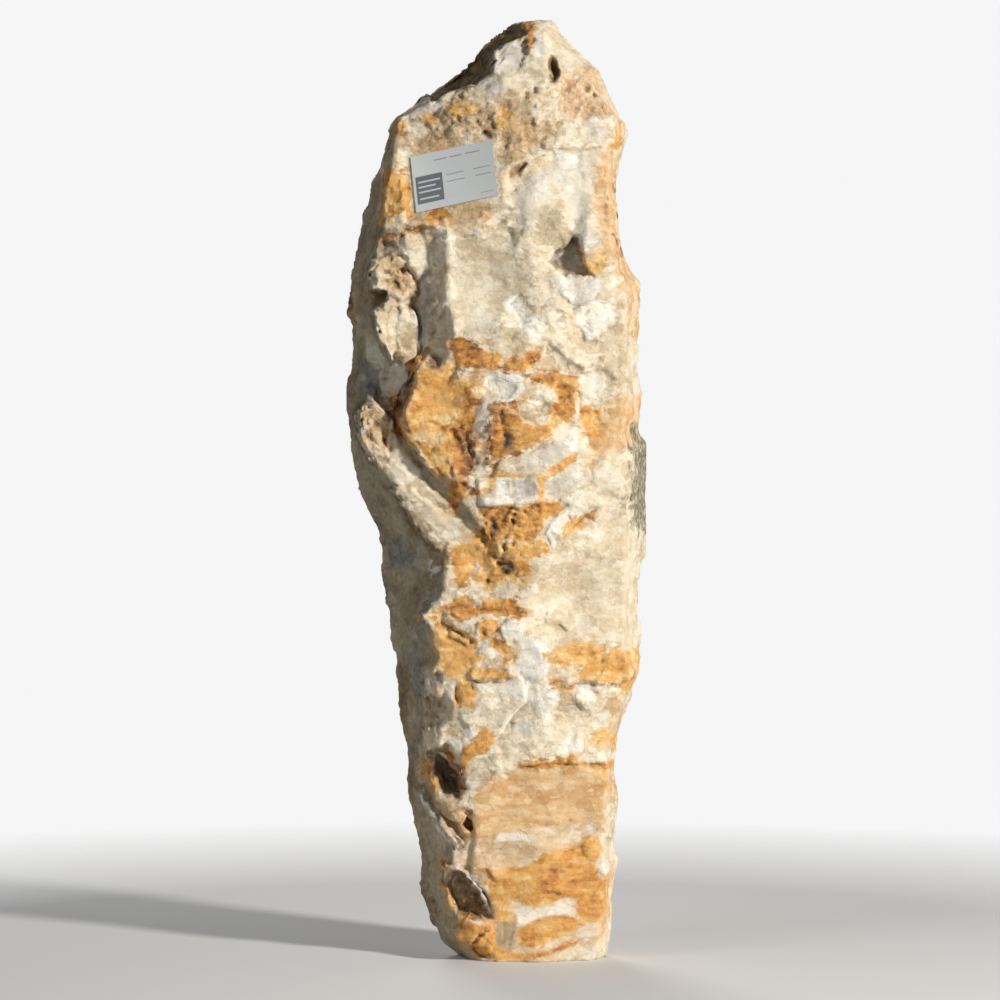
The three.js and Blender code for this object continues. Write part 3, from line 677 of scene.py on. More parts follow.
BLOCKS = [
    # outline, height, lean, softness of the edge
    ([(-84, 262), (-70, 265), (-58, 248), (-42, 234), (-35, 212), (-48, 201), (-68, 203), (-75, 226)],
     -11, (0.1, 0), 5),
    ([(-38, 190), (-29, 191), (-30, 160), (-38, 164), (-44, 176)], -5, (-0.1, 0), 2.5),
    ([(80, 840), (99, 847), (122, 845), (126, 825), (114, 810), (91, 810), (76, 825)], 2, (0.05, -0.1), 1.5),
    ([(99, 790), (118, 802), (143, 798), (145, 786), (122, 767), (110, 765)], 2.5, (0.1, -0.1), 1.5),
    ([(14, 810), (29, 823), (52, 802), (60, 798), (60, 771), (45, 773), (29, 790)], -1.2, (0.08, 0), 1.5),
    ([(92, 804), (101, 809), (106, 798), (96, 790)], -2, (0.2, 0), 1.5),
    ([(-24, 596), (0, 597), (18, 597), (18, 566), (2, 565), (-22, 564)], 2.5, (-0.08, 0.12), 1),
    ([(19, 597), (46, 597), (54, 582), (52, 566), (19, 566)], 1.5, (0.1, 0.1), 1),
    ([(6, 622), (30, 630), (52, 634), (54, 606), (20, 600), (-4, 600)], 2, (-0.1, 0), 1.5),
    ([(60, 530), (72, 548), (96, 566), (116, 573), (119, 566), (100, 550), (84, 536), (68, 515)],
     2.5, (-0.05, 0), 2),
    ([(-36, 358), (-22, 366), (2, 363), (24, 356), (10, 350), (-10, 346), (-28, 350)], 3, (0, -0.25), 1.5),
    ([(92, 324), (100, 336), (120, 334), (120, 318), (108, 312)], 3, (0, -0.1), 1.5),
    ([(2, 412), (14, 424), (34, 416), (30, 400), (12, 396)], 3, (-0.1, 0.1), 1.5),
    ([(8, 612), (16, 650), (10, 684), (32, 712), (44, 726), (80, 726), (98, 716), (100, 684), (92, 668),
      (60, 640), (24, 630)], 5, (0, 0.05), 4),
    ([(-106, 740), (-84, 736), (-60, 730), (-34, 716), (-24, 694), (-34, 668), (-60, 654), (-96, 650),
      (-114, 656), (-112, 690), (-104, 708)], 2, (0, 0.02), 8),
    ([(110, 598), (128, 640), (140, 690), (182, 702), (182, 560), (150, 572)], 3, (0.05, 0), 4),
]
# The nose is the lower end of the white plane, broken off along its left and lower side.
NOSE_BREAK = [(40, 1020), (52, 916), (84, 900), (101, 892), (104, 878), (108, 862), (113, 848),
              (136, 844), (190, 850), (190, 1020)]
NOSE = [
    # outline, a place on the break, how far that is before the stone's middle, lean, softness of the edge
    ([(98, 879), (102, 900), (106, 926), (112, 946), (124, 946), (132, 926), (138, 905), (141, 879)],
     (104, 878), 90.5, (-0.3, -0.42), 10),
    ([(95, 879), (141, 879), (143, 866), (138, 850), (128, 840), (100, 840)],
     (104, 878), 90.5, (-0.3, 0.35), 3),
]
FACETS = [
    # the same, for the other breaks
    ([(66, 862), (70, 870), (86, 884), (99, 895), (106, 892), (112, 870), (118, 848), (108, 842), (86, 844)],
     (90, 868), 62.5, (0.1, 0), 3),
    ([(136, 886), (136, 962), (145, 962), (154, 905), (158, 882), (150, 874)],
     (140, 880), 75, (-2.0, -0.4), 6),
    ([(-152, 636), (-141, 614), (-126, 597), (-112, 586), (-90, 572), (-62, 552), (-72, 572), (-88, 598),
      (-102, 618), (-116, 638), (-130, 650)], (-110, 600), 63, (0.06, -0.03), 3),
    ([(-128, 585), (-106, 583), (-89, 573), (-59, 549), (-30, 537), (-16, 532), (-18, 516), (-60, 517),
      (-66, 505), (-89, 524), (-104, 544), (-114, 562)], (-70, 545), 72, (0.07, 0.05), 2.5),
    ([(-108, 648), (-88, 644), (-74, 637), (-66, 612), (-74, 598), (-84, 610), (-96, 628)],
     (-85, 630), 81, (0.02, 0.0), 2.5),
    ([(-92, 431), (-80, 437), (-68, 431), (-70, 416), (-84, 417)], (-80, 427), 77, (0.0, 0.1), 2),
    ([(-86, 364), (-68, 357), (-65, 345), (-68, 338), (-76, 330), (-88, 324)],
     (-66, 345), 76, (0.95, 0.0), 3),
    ([(-90, 322), (-74, 330), (-62, 331), (-54, 320), (-51, 310), (-58, 302), (-70, 290), (-88, 280)],
     (-53, 312), 76, (0.95, 0.0), 4),
    ([(-90, 284), (-74, 292), (-68, 288), (-65, 280), (-70, 270), (-88, 256)],
     (-67, 280), 72, (0.95, 0.0), 4),
    ([(-75, 262), (-62, 270), (-50, 254), (-40, 240), (-37, 230), (-47, 231), (-55, 240), (-62, 247),
      (-71, 254)], (-42, 236), 73, (0.95, 0.05), 4),
    ([(-5, 1092), (-3, 1121), (13, 1133), (36, 1135), (40, 1118), (30, 1103), (23, 1092)],
     (16, 1113), 36, (0.0, -0.6), 2),
    ([(-160, 776), (-146, 776), (-128, 738), (-106, 736), (-103, 708), (-112, 690), (-117, 668), (-130, 655),
      (-146, 684), (-160, 720)], (-131, 715), 38, (0.96, 0), 5),
    ([(-82, 897), (-58, 896), (-62, 876), (-66, 860), (-58, 834), (-94, 838), (-84, 858), (-80, 879)],
     (-74, 865), 65, (0.95, 0), 8),
    ([(-57, 838), (-55, 824), (-59, 810), (-48, 788), (-47, 768), (-58, 764), (-60, 743), (-74, 737),
      (-86, 744), (-98, 742), (-108, 738), (-104, 758), (-105, 780), (-110, 806), (-98, 846)],
     (-79, 776), 60, (1.02, 0.05), 7),
    ([(-114, 903), (-88, 899), (-81, 880), (-84, 859), (-96, 841), (-107, 852), (-114, 878)],
     (-98, 873), 61, (-0.22, 0), 5),
    ([(-151, 830), (-148, 862), (-128, 872), (-109, 858), (-97, 838), (-101, 821), (-130, 818)],
     (-123, 843), 60, (-0.3, -0.1), 4),
    ([(-141, 868), (-138, 886), (-118, 884), (-112, 870), (-126, 872)], (-127, 876), 54, (0.9, -0.3), 3),
    ([(-122, 810), (-108, 808), (-98, 792), (-95, 757), (-104, 736), (-113, 735), (-116, 752), (-122, 768)],
     (-112, 775), 58, (-0.5, 0.1), 3),
    ([(-124, 822), (-146, 802), (-145, 778), (-136, 752), (-128, 738), (-121, 760), (-119, 790), (-119, 806)],
     (-132, 780), 64, (-0.4, 0.0), 2),
    ([(-167, 678), (-150, 688), (-137, 677), (-125, 656), (-122, 640), (-134, 612), (-154, 619), (-168, 644)],
     (-146, 652), 64, (-0.25, 0.1), 3),
    ([(-66, 118), (-46, 118), (-28, 99), (-11, 76), (-5, 56), (-28, 54), (-47, 60), (-60, 86)],
     (-39, 84), 54, (0.6, 0.6), 3),
]
CRACKS = [
    # line, depth, width
    ([(-82, 918), (-72, 914), (-60, 918)], 4, 4),
    ([(-138, 888), (-118, 899), (-98, 904)], 4, 3),
    ([(10, 960), (26, 976), (36, 984)], 5, 5),
    ([(5, 684), (6, 666), (10, 648), (14, 634), (8, 622)], 2, 4),
    ([(-86, 208), (-72, 191), (-58, 173), (-46, 157), (-40, 144)], 9, 9),
    ([(-50, 348), (-49, 332), (-45, 314)], 6, 5),
    ([(-62, 350), (-64, 334), (-60, 320)], 3, 4),
    ([(-3, 546), (0, 530)], 6, 4),
    ([(5, 500), (12, 488)], 5, 4),
    ([(-70, 426), (-50, 411), (-24, 397)], 6, 4),
    ([(-16, 412), (-12, 402)], 5, 3),
    ([(-34, 20), (-26, 27), (-20, 33), (-13, 37)], 10, 3.5),
    ([(-30, 20), (-18, 8), (-8, 3)], 6, 4),
    ([(88, 172), (94, 176)], 3, 3),
    ([(74, 46), (90, 50), (102, 52)], 3, 3),
    ([(-60, 660), (-50, 652), (-43, 636), (-36, 610), (-24, 590)], 4, 10),
    ([(-50, 664), (-38, 650), (-32, 628), (-20, 600)], 3, 7),
    ([(-110, 668), (-80, 664), (-58, 658)], 3, 4),
    ([(118, 806), (96, 786)], 3, 4),
    ([(35, 1073), (35, 1058)], 5, 5),
    ([(48, 1080), (47, 1066)], 6, 4),
    ([(60, 1078), (61, 1070)], 4, 4),
]


# ---- The stone: its mesh ----
# One natural block of onyx, split all round and sawn across at the foot. Its CAD solid gets an even skin
# of points, which are moved by the drawn breaks and by the stone's own, and then the skin is thinned out.

MM = 0.001
GRID = 2.2  # mm between the points of its skin while it is shaped
KEEP_TRIANGLES = 196000
NORMAL_PASSES = 14  # how often its normals are evened out
SKIN_PASSES = 4  # how often its places are
ARRIS_PASSES = 60  # as much evening out as takes an arris away
HOLLOW_PASSES = (8, 40)  # as much as fills a narrow hollow, and a wide one
scene = bpy.context.scene
stone_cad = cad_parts["stone"]


def even_skin(cad, spacing):
    """A copy of a CAD solid whose skin is divided into even squares."""
    work = bpy.data.objects.new("work", cad.data.copy())
    scene.collection.objects.link(work)
    shell = bmesh.new()
    shell.from_mesh(work.data)
    bmesh.ops.remove_doubles(shell, verts=shell.verts, dist=1e-5)
    shell.to_mesh(work.data)
    shell.free()
    remesh = work.modifiers.new("even skin", "REMESH")
    remesh.mode = "VOXEL"
    remesh.voxel_size = spacing
    mesh = bpy.data.meshes.new_from_object(work.evaluated_get(bpy.context.evaluated_depsgraph_get()))
    bpy.data.objects.remove(work)
    return mesh


def read_points(mesh, what):
    """The places or the normals of a mesh's points, as rows."""
    row = np.empty(len(mesh.vertices) * 3, np.float32)
    mesh.vertices.foreach_get(what, row)
    return row.reshape(-1, 3).astype(float)


def points_of(mesh):
    """The places of a mesh's points in mm."""
    return read_points(mesh, "co") / MM


def place_points(mesh, points):
    """Puts a mesh's points at these places in mm."""
    mesh.vertices.foreach_set("co", (points * MM).astype(np.float32).ravel())


def relax(values, edges, passes):
    """Each point's values drawn towards the mean of its neighbours'."""
    count = np.bincount(edges.ravel(), minlength=len(values))[:, None]
    for _ in range(passes):
        total = np.stack([
            np.bincount(edges[:, 0], values[edges[:, 1], i], len(values))
            + np.bincount(edges[:, 1], values[edges[:, 0], i], len(values))
            for i in range(values.shape[1])
        ], axis=1)
        values = 0.5 * values + 0.5 * total / count
    return values


stone_mesh = even_skin(stone_cad, GRID * MM)
edges = np.empty(len(stone_mesh.edges) * 2, np.int32)
stone_mesh.edges.foreach_get("vertices", edges)
edges = edges.reshape(-1, 2)
normals = relax(read_points(stone_mesh, "normal"), edges, NORMAL_PASSES)
normals /= np.linalg.norm(normals, axis=1)[:, None]
skin = relax(points_of(stone_mesh), edges, SKIN_PASSES)
flat = skin[:, [0, 2]]
front = ease(0.05, 0.45, -normals[:, 1])
seen = ease(-0.15, 0.15, -normals[:, 1])

# The outlines wander, as stains and veins do.
WANDER = 4.0
wander = np.stack([rough(skin, 16, 3, 3), rough(skin, 16, 7, 3)], axis=1) * WANDER
crisp = np.clip(patchwork(flat, CRISP) / 6 + 0.5, 0, 1) * seen
drawn = flat + wander * (1 - 0.85 * crisp[:, None])
FAR = 30.0  # mm from a mark's outline, past which it makes no difference


def mark(outlines, elsewhere):
    """How far inside a kind of mark each point is: as drawn on the front, by a rule elsewhere."""
    return np.clip(patchwork(drawn, outlines), -FAR, FAR) * seen + elsewhere * (1 - seen)


def patches(points, size, seed, level, reach=26):
    """The rule for marks elsewhere: patches so many mm across, which are fewer where the level is higher."""
    return reach * (rough(points, size, seed) - level)


def depth_of(marks):
    """How deep the stain is at each point: the mean of the nearest marks' depths."""
    total, weights = np.zeros(len(drawn)), np.full(len(drawn), 1e-9)
    for depth, outline in marks:
        weight = np.exp(np.clip(inside_by(drawn, outline), -40, 6) / 4)
        total += weight * depth
        weights += weight
    return total / weights


bedding = turned(skin, 12, 3.0)
ochre = mark([outline for _, outline in OCHRE], patches(bedding, 90, 21, 0.28))
peach = mark([outline for _, outline in PEACH], patches(bedding, 130, 23, 0.1, 30))
white = mark(WHITE, patches(turned(skin, 50, 2.0), 60, 25, 0.35))
grey = mark(GREY, patches(skin, 80, 27, 0.35))
# The beige, soil, slate and umber marks hold painted shade as well as the stone's own colour.
beige = mark(BEIGE_AND_SHADE, patches(skin, 100, 28, 0.3))
tan_crust = mark(TAN_CRUST, patches(skin, 120, 29, 0.4))
coarse = mark(COARSE, patches(skin, 110, 30, 0.55))
pink_crust = mark(PINK_CRUST, -FAR)
soil = mark(SOIL_AND_SHADE, patches(skin, 70, 31, 0.62))
lichen = mark(LICHEN, patches(skin, 100, 33, 0.5))
slate = mark(SLATE_AND_SHADE, patches(skin, 95, 38, 0.45))
umber = mark(UMBER_AND_SHADE, patches(turned(skin, 80, 2.0), 85, 39, 0.3))
smooth = mark(SMOOTH, patches(skin, 150, 35, 0.05, 30))
ochre_depth = depth_of(OCHRE) * seen + (0.75 + 0.4 * swell(skin, 40, 37)) * (1 - seen)
peach_depth = depth_of(PEACH) * seen + 0.6 * (1 - seen)


def share(inside, soft=3.0):
    """1 inside a mark and 0 outside it, with an edge so many mm soft on each side."""
    return ease(-soft, soft, inside)


# The left face, turned away from the key light, and the back are toned darker: partly old weathered skin,
# partly painted shade.
weather = ease(-0.35, -0.8, normals[:, 0]) + ease(0.2, 0.7, normals[:, 1]) * (0.5 + swell(skin, 90, 45))
bared = patchwork(flat, [outline for outline, *_ in FACETS + NOSE])
weather *= 1 - 0.85 * share(bared) * seen
crust = np.maximum(share(tan_crust), share(pink_crust))
crystal = np.maximum(share(white), share(grey))
calm = share(smooth, 13.0) * (1 - crust)
busy = 1 - 0.75 * calm

# Each kind of form, and how much its outline wanders.
FORMS = ((dish, DISHES, 0.5), (knob, KNOBS, 0.5), (ledge, LEDGES, 0.6), (crest, CRESTS, 0.5),
         (block, BLOCKS, 0.4), (crack, CRACKS, 0.5))
drawn_up = np.zeros(len(skin))
for form, rows, loose in FORMS:
    for args in rows:
        drawn_up += form(flat + loose * wander, *args)
drawn_up *= front
for args in FACETS:
    drawn_up += facet(flat + 0.9 * wander, drawn_up - skin[:, 1], *args) * seen
for args in NOSE:
    drawn_up += (ease(-2, 2, inside_by(flat + 0.6 * wander, NOSE_BREAK)) * seen
                 * facet(flat + 0.4 * wander, drawn_up - skin[:, 1], *args))

# Where the sides stand further out or in, in mm: height, reach, how far on the left and on the right.
TRIMS = [(1054, 22, -5, 0), (803, 26, 4, 0), (728, 26, -4, 0), (654, 22, 0, -5), (375, 20, -4, 0),
         (356, 26, 0, 5), (114, 24, 0, 5)]

# The smaller breaks are the stone's own, all round it. They eat into its sides, which start further out.
height = 3.4 * ease(0.55, 0.95, -normals[:, 0]) + 1.2 * ease(0.55, 0.95, normals[:, 0])
for middle, reach, left, right in TRIMS:
    level = ease(reach, 0, np.abs(skin[:, 2] - middle))
    height += level * (left * ease(0.4, 0.9, -normals[:, 0]) + right * ease(0.4, 0.9, normals[:, 0]))

warped = skin + 5.0 * np.stack([swell(skin, 36, s) for s in (41, 42, 43)], axis=1)
diagonal = turned(warped, 46, 1.5)
height += busy * (
    3.4 * facets(warped, 78, 1)
    + 2.4 * chips(diagonal, 46, 2)
    + 1.5 * facets(diagonal, 24, 4)
    + 0.8 * chips(warped, 13, 5)
    + 0.5 * facets(warped, 7.5, 14)
)
height += calm * 1.0 * chips(diagonal, 30, 15)
# An arris between two faces is chipped.
stands_out = np.einsum("ij,ij->i", skin - relax(skin, edges, ARRIS_PASSES), normals)
arris = ease(1.0, 4.5, stands_out) * ease(20, 60, skin[:, 2])
height += arris * (4.5 * chips(warped, 38, 71) + 2.0 * facets(warped, 17, 72) - 1.0)
height *= 1 - 0.45 * share(bared) * seen
height += 0.3 * rough(skin, 9, 6, 2)
height *= 1 - 0.35 * crystal
height += crystal * (0.8 * facets(turned(warped, 60, 1.2), 15, 8, 90.0) - 0.3)
# The crust's grains are holes turned outwards, between true holes.
height += crust * (
    2.2 * rough(turned(skin, -60, 1.8), 30, 9, 3)
    - 4.5 * holes(warped, 23, 0.3, 66)
    + 2.6 * holes(warped, 15, 0.55, 17)
    + 1.6 * holes(skin, 8, 0.6, 18)
    - 2.4 * holes(warped, 11, 0.4, 10)
    - 1.0
)
height += share(coarse, 5.0) * (
    5.0 * holes(warped, 17, 0.6, 51)
    + 3.0 * holes(warped, 11, 0.5, 52)
    - 7.5 * holes(turned(warped, -40, 1.4), 13, 0.45, 53)
    - 1.0
)
for angle, outline in FOLDS:
    along_folds = turned(warped, angle, 4.0)
    folds = 2.0 * swell(along_folds, 9, 61) + 1.0 * swell(along_folds, 5, 62)
    height += share(inside_by(drawn, outline), 5.0) * front * folds
height += share(pink_crust) * (-5.0 * holes(skin, 17, 0.3, 11))
height += share(ochre) * (0.6 * rough(skin, 6, 12, 2) - 0.8 * holes(skin, 9, 0.3, 13))
crusty = share(ochre) * ease(0.65, 1.0, ochre_depth) * (1 - 0.8 * calm)
height += crusty * (
    1.6 * rough(skin, 9, 63, 2)
    - 2.2 * holes(skin, 8, 0.4, 64)
    - 2.4 * holes(warped, 14, 0.35, 65)
)
height -= share(soil) * 2.0
both = (height + drawn_up)[:, None]
narrow, wide = (relax(both, edges, passes) - both for passes in HOLLOW_PASSES)
hollow = (narrow + 0.5 * wide)[:, 0]

shaped = skin + normals * height[:, None]
shaped[:, 1] -= drawn_up

# The foot is sawn flat and stays on the ground, and nothing passes the CAD solid's box.
SAWN = 1.2  # the skin below this height lies on the ground
near_foot = ease(14, 2, skin[:, 2])
shaped[:, 2] = shaped[:, 2] * (1 - near_foot) + skin[:, 2] * near_foot
low, high = (np.array(corner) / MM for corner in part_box("stone"))
shaped = np.clip(shaped, low, high)
shaped[skin[:, 2] < SAWN, 2] = 0.0

# The stone comes up to the card's back and no further. Round the card's rim it goes back to its own shape.
CARD_CLEARANCE = 0.6
CARD_DRAW = 16.0  # how far the stone may be brought forward, and how far from the card that ends
card_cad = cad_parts["label_card"]
card_corners = points_of(card_cad.data)
card_middle = card_corners.mean(axis=0)
_, _, card_axes = np.linalg.svd(card_corners - card_middle)
card_out = card_axes[2] * -np.sign(card_axes[2, 1])
card_sizes = np.ptp((card_corners - card_middle) @ card_axes.T, axis=0)
from_card = (shaped - card_middle) @ card_axes.T
beyond = np.max(np.abs(from_card[:, :2]) - card_sizes[:2] / 2, axis=1)
in_front = (shaped - card_middle) @ card_out + card_sizes[2] / 2 + CARD_CLEARANCE
seated = ease(CARD_DRAW, 3, beyond) * (shaped[:, 1] < 30)
shaped[:, 1] += np.clip(in_front, -CARD_DRAW, None) * seated / -card_out[1]

place_points(stone_mesh, shaped)
FIELDS = {
    "ochre": ochre, "ochre_depth": ochre_depth, "peach": peach, "peach_depth": peach_depth,
    "white": white, "grey": grey, "beige": beige, "hollow": hollow, "crisp": crisp, "weather": weather,
    "tan_crust": tan_crust, "coarse": coarse, "pink_crust": pink_crust, "soil": soil, "lichen": lichen,
    "smooth": smooth, "slate": slate, "umber": umber,
}
for name, values in FIELDS.items():
    attribute = stone_mesh.attributes.new(name, "FLOAT", "POINT")
    attribute.data.foreach_set("value", values.astype(np.float32))
stone_mesh.update()

stone = bpy.data.objects.new("onyx_stone", stone_mesh)
scene.collection.objects.link(stone)


def thin_out(piece, triangles):
    """Joins the flattest faces of a mesh until it has this many triangles."""
    now = sum(len(face.vertices) - 2 for face in piece.data.polygons)
    thin = piece.modifiers.new("thin out", "DECIMATE")
    thin.ratio = min(1.0, triangles / now)
    thin.use_collapse_triangulate = True
    mesh = bpy.data.meshes.new_from_object(piece.evaluated_get(bpy.context.evaluated_depsgraph_get()))
    piece.modifiers.clear()
    piece.data = mesh


thin_out(stone, KEEP_TRIANGLES)
BOX_GAP = 0.02  # so that rounding can't take a point out of the CAD solid's box
kept = np.clip(points_of(stone.data), low + BOX_GAP, high - BOX_GAP)
kept[kept[:, 2] < 0.1, 2] = 0.0
place_points(stone.data, kept)
stone.data.shade_smooth()


# ---- The stone: its finish ----
# Bare split calcite, matt and unpolished. Each mark of the mesh is laid over the cream ground in turn with
# its own tones and a ragged edge, and the finest breaks are a bump of the same material.

class Wire:
    """One socket of a material. Sums with it add Math nodes."""

    def __init__(self, nodes, socket):
        self.nodes, self.socket = nodes, socket

    def node(self, kind, settings=None, output=0, **values):
        """A node of this kind: its settings, then what its sockets hold, by name or as in_0, in_1."""
        made = self.nodes.new(kind)
        for name, value in (settings or {}).items():
            if name == "stops":
                ramp = made.color_ramp.elements
                for stop, (place, colour) in zip((ramp[0], ramp[1]), (value[0], value[-1])):
                    stop.position, stop.color = place, colour
                for place, colour in value[1:-1]:
                    ramp.new(place).color = colour
            else:
                setattr(made, name, value)
        for name, value in values.items():
            socket = made.inputs[int(name[3:]) if name.startswith("in_") else name.replace("_", " ")]
            if isinstance(value, Wire):
                self.nodes.id_data.links.new(value.socket, socket)
            else:
                socket.default_value = value
        return Wire(self.nodes, made.outputs[output])

    def maths(self, operation, *values):
        """A Math node on numbers or other sockets."""
        sockets = {f"in_{i}": value for i, value in enumerate(values)}
        return self.node("ShaderNodeMath", {"operation": operation}, **sockets)

    def __add__(self, other):
        return self.maths("ADD", self, other)

    def __sub__(self, other):
        return self.maths("SUBTRACT", self, other)

    def __rsub__(self, other):
        return self.maths("SUBTRACT", other, self)

    def __mul__(self, other):
        return self.maths("MULTIPLY", self, other)

    __radd__, __rmul__ = __add__, __mul__

    def cut(self, low, high):
        """0 below low, 1 above high, and even between them."""
        return self.node("ShaderNodeMapRange", {"clamp": True}, Value=self, From_Min=low, From_Max=high)

    def tones(self, *stops):
        """Colours along this value, each with its place from 0 to 1."""
        return self.node("ShaderNodeValToRGB", {"stops": stops}, Fac=self)

    def also(self, output):
        """Another output of the same node."""
        return Wire(self.nodes, self.socket.node.outputs[output])

    def under(self, paint, mask):
        """This colour with another over it where the mask is 1."""
        return self.node("ShaderNodeMix", {"data_type": "RGBA"}, 2, in_0=mask, in_6=self, in_7=paint)

    def to(self, shader, name):
        """Links this to a socket of the material's own shader."""
        self.nodes.id_data.links.new(self.socket, shader.inputs[name])


def rgb(*levels):
    """A colour given as it looks on a screen, from 0 to 255."""
    shares = [level / 255 for level in levels]
    return (*(c / 12.92 if c <= 0.04045 else ((c + 0.055) / 1.055) ** 2.4 for c in shares), 1)


def new_material(name):
    """A material with its shader and its nodes."""
    material = bpy.data.materials.new(name)
    material.use_nodes = True
    return material, material.node_tree.nodes["Principled BSDF"], material.node_tree.nodes


onyx, onyx_shader, nodes = new_material("split_onyx")
start = Wire(nodes, None)
place = start.node("ShaderNodeTexCoord", None, 3)


def grain(size, detail=3.0, rough_share=0.55, stretch=None, turn=0.0):
    """Noise from 0 to 1 whose swells are so many mm across, drawn out along a grain if that is asked for."""
    at = place
    if stretch:
        turning = (0, math.radians(turn), 0)
        at = start.node("ShaderNodeMapping", None, Vector=place, Rotation=turning, Scale=stretch)
    return start.node("ShaderNodeTexNoise", None, Vector=at, Scale=1 / (size * MM), Detail=detail,
                      Roughness=rough_share)


def shards(size, warp=0.5, stretch=(1, 1, 1), turn=0.0):
    """Angular cells so many mm across: each one's own number, its tilted face's height in mm, its edges."""
    across = size * MM
    bend = start.node("ShaderNodeTexNoise", None, 1, Vector=place, Scale=0.9 / across, Detail=2.0)
    bent = start.node("ShaderNodeVectorMath", {"operation": "MULTIPLY_ADD"}, 0, in_0=bend,
                      in_1=(warp * size * MM,) * 3, in_2=place)
    turning = (0, math.radians(turn), 0)
    at = start.node("ShaderNodeMapping", None, Vector=bent, Rotation=turning, Scale=stretch)
    cells = start.node("ShaderNodeTexVoronoi", None, 0, Vector=at, Scale=1 / across)
    away = start.node("ShaderNodeVectorMath", {"operation": "SUBTRACT"}, 0, in_0=at, in_1=cells.also(2))
    own = cells.also(1)
    face = start.node("ShaderNodeVectorMath", {"operation": "SUBTRACT"}, 0, in_0=own, in_1=(0.5,) * 3)
    tilted = start.node("ShaderNodeVectorMath", {"operation": "DOT_PRODUCT"}, 1, in_0=away, in_1=face)
    number = start.node("ShaderNodeSeparateColor", None, 0, Color=own)
    edge = start.node("ShaderNodeTexVoronoi", {"feature": "DISTANCE_TO_EDGE"}, 0, Vector=at, Scale=1 / across)
    return number, tilted * (1 / MM), edge


def field(name):
    """What the mesh says of each point: how far inside a mark it is, or how deep its colour."""
    return start.node("ShaderNodeAttribute", {"attribute_name": name}, 2)


big, big_tilt, big_edge = shards(19, 1.1, (0.7, 1, 1.1), 40)
small, small_tilt, small_edge = shards(6, 1.3, (0.6, 1, 1.15), 44)
_, _, vein_edge = shards(42, 0.9, (0.4, 1, 1), 50)
wave = ((grain(11, 5, 0.65) - 0.5) * 14 + (grain(3.5, 4, 0.65) - 0.5) * 7
        + (big - 0.5) * 7 + (small - 0.5) * 5) * (1 - field("crisp") * 0.75)


def stain(name, offset=0.0, soft=1.5, ragged=1.0):
    """Where a mark is, with a ragged edge."""
    return (field(name) + wave * ragged + offset).cut(-soft, soft)


cloud = grain(44, 6, 0.62)
mottle = grain(12, 6, 0.66)
fleck = grain(3.2, 4, 0.66)
streak = grain(4.5, 4, 0.6, stretch=(0.22, 1, 1), turn=46)
bed = grain(12, 5, 0.6, stretch=(0.24, 1, 1), turn=-12)
patchy = cloud * 0.45 + mottle * 0.35 + fleck * 0.2

base = patchy.tones((0.36, rgb(204, 182, 146)), (0.47, rgb(224, 206, 174)), (0.56, rgb(236, 223, 196)),
                    (0.66, rgb(242, 235, 218)))
base = base.under(rgb(196, 172, 134), streak.cut(0.56, 0.7) * 0.45)
base = base.under(rgb(242, 238, 228), streak.cut(0.42, 0.3) * 0.4)
base = base.under(rgb(206, 184, 146), big.cut(0.6, 0.95) * 0.45)
base = base.under(rgb(246, 238, 220), big.cut(0.4, 0.05) * 0.45)
base = base.under(rgb(200, 170, 124), small.cut(0.7, 1.0) * 0.35)
base = base.under(rgb(248, 241, 226), small.cut(0.3, 0.0) * 0.35)
base = base.under(rgb(250, 243, 226), big_edge.cut(0.07, 0.0) * cloud.cut(0.45, 0.6) * 0.5)

# Painted shade, with old weathering: the faces turned away from the light are toned darker and duller.
weathered_and_shaded = (field("weather") + (mottle - 0.5) * 0.8).cut(0.25, 0.75)
old_and_shaded_tone = patchy.tones((0.38, rgb(116, 98, 70)), (0.5, rgb(160, 143, 112)), (0.62, rgb(194, 180, 152)))
base = base.under(old_and_shaded_tone, weathered_and_shaded * 0.85)
base = base.under(rgb(208, 194, 164), (big + mottle * 0.5).cut(1.08, 1.16) * weathered_and_shaded * 0.6)
# Painted shade: a cool blue-grey tint where shadow falls.
slate_and_shade_tone = mottle.tones((0.4, rgb(118, 116, 118)), (0.6, rgb(160, 158, 158)))
base = base.under(slate_and_shade_tone, stain("slate", 0, 6.0) * 0.7)
# Dark brown stain, and painted shade in the shadowed socket beside the foot.
umber_and_shade_tone = mottle.tones((0.4, rgb(98, 74, 40)), (0.6, rgb(150, 120, 78)))
base = base.under(umber_and_shade_tone, stain("umber", 0, 6.0) * 0.7)

peach_tone = (patchy * 0.4 + bed * 0.6).tones((0.38, rgb(204, 150, 90)), (0.5, rgb(224, 180, 124)),
                                              (0.62, rgb(236, 206, 158)))
peach_tone = peach_tone.under(rgb(202, 144, 84), (big + mottle * 0.6).cut(0.95, 1.2) * 0.45)
peach_tone = peach_tone.under(rgb(244, 224, 186), (small + mottle * 0.6).cut(0.5, 0.3) * 0.5)
base = base.under(peach_tone, stain("peach", 0, 6.0) * (field("peach_depth") * 0.7 + 0.35))
halo = (field("ochre") + wave * 1.2 + 4).cut(-6, 6) * 0.45
base = base.under(peach_tone, halo)

grey_tone = (patchy * 0.6 + big * 0.25 + small * 0.15).tones(
    (0.3, rgb(176, 166, 150)), (0.5, rgb(208, 200, 186)), (0.68, rgb(236, 232, 222)))
base = base.under(grey_tone, stain("grey", -1, 5.0) * 0.8)
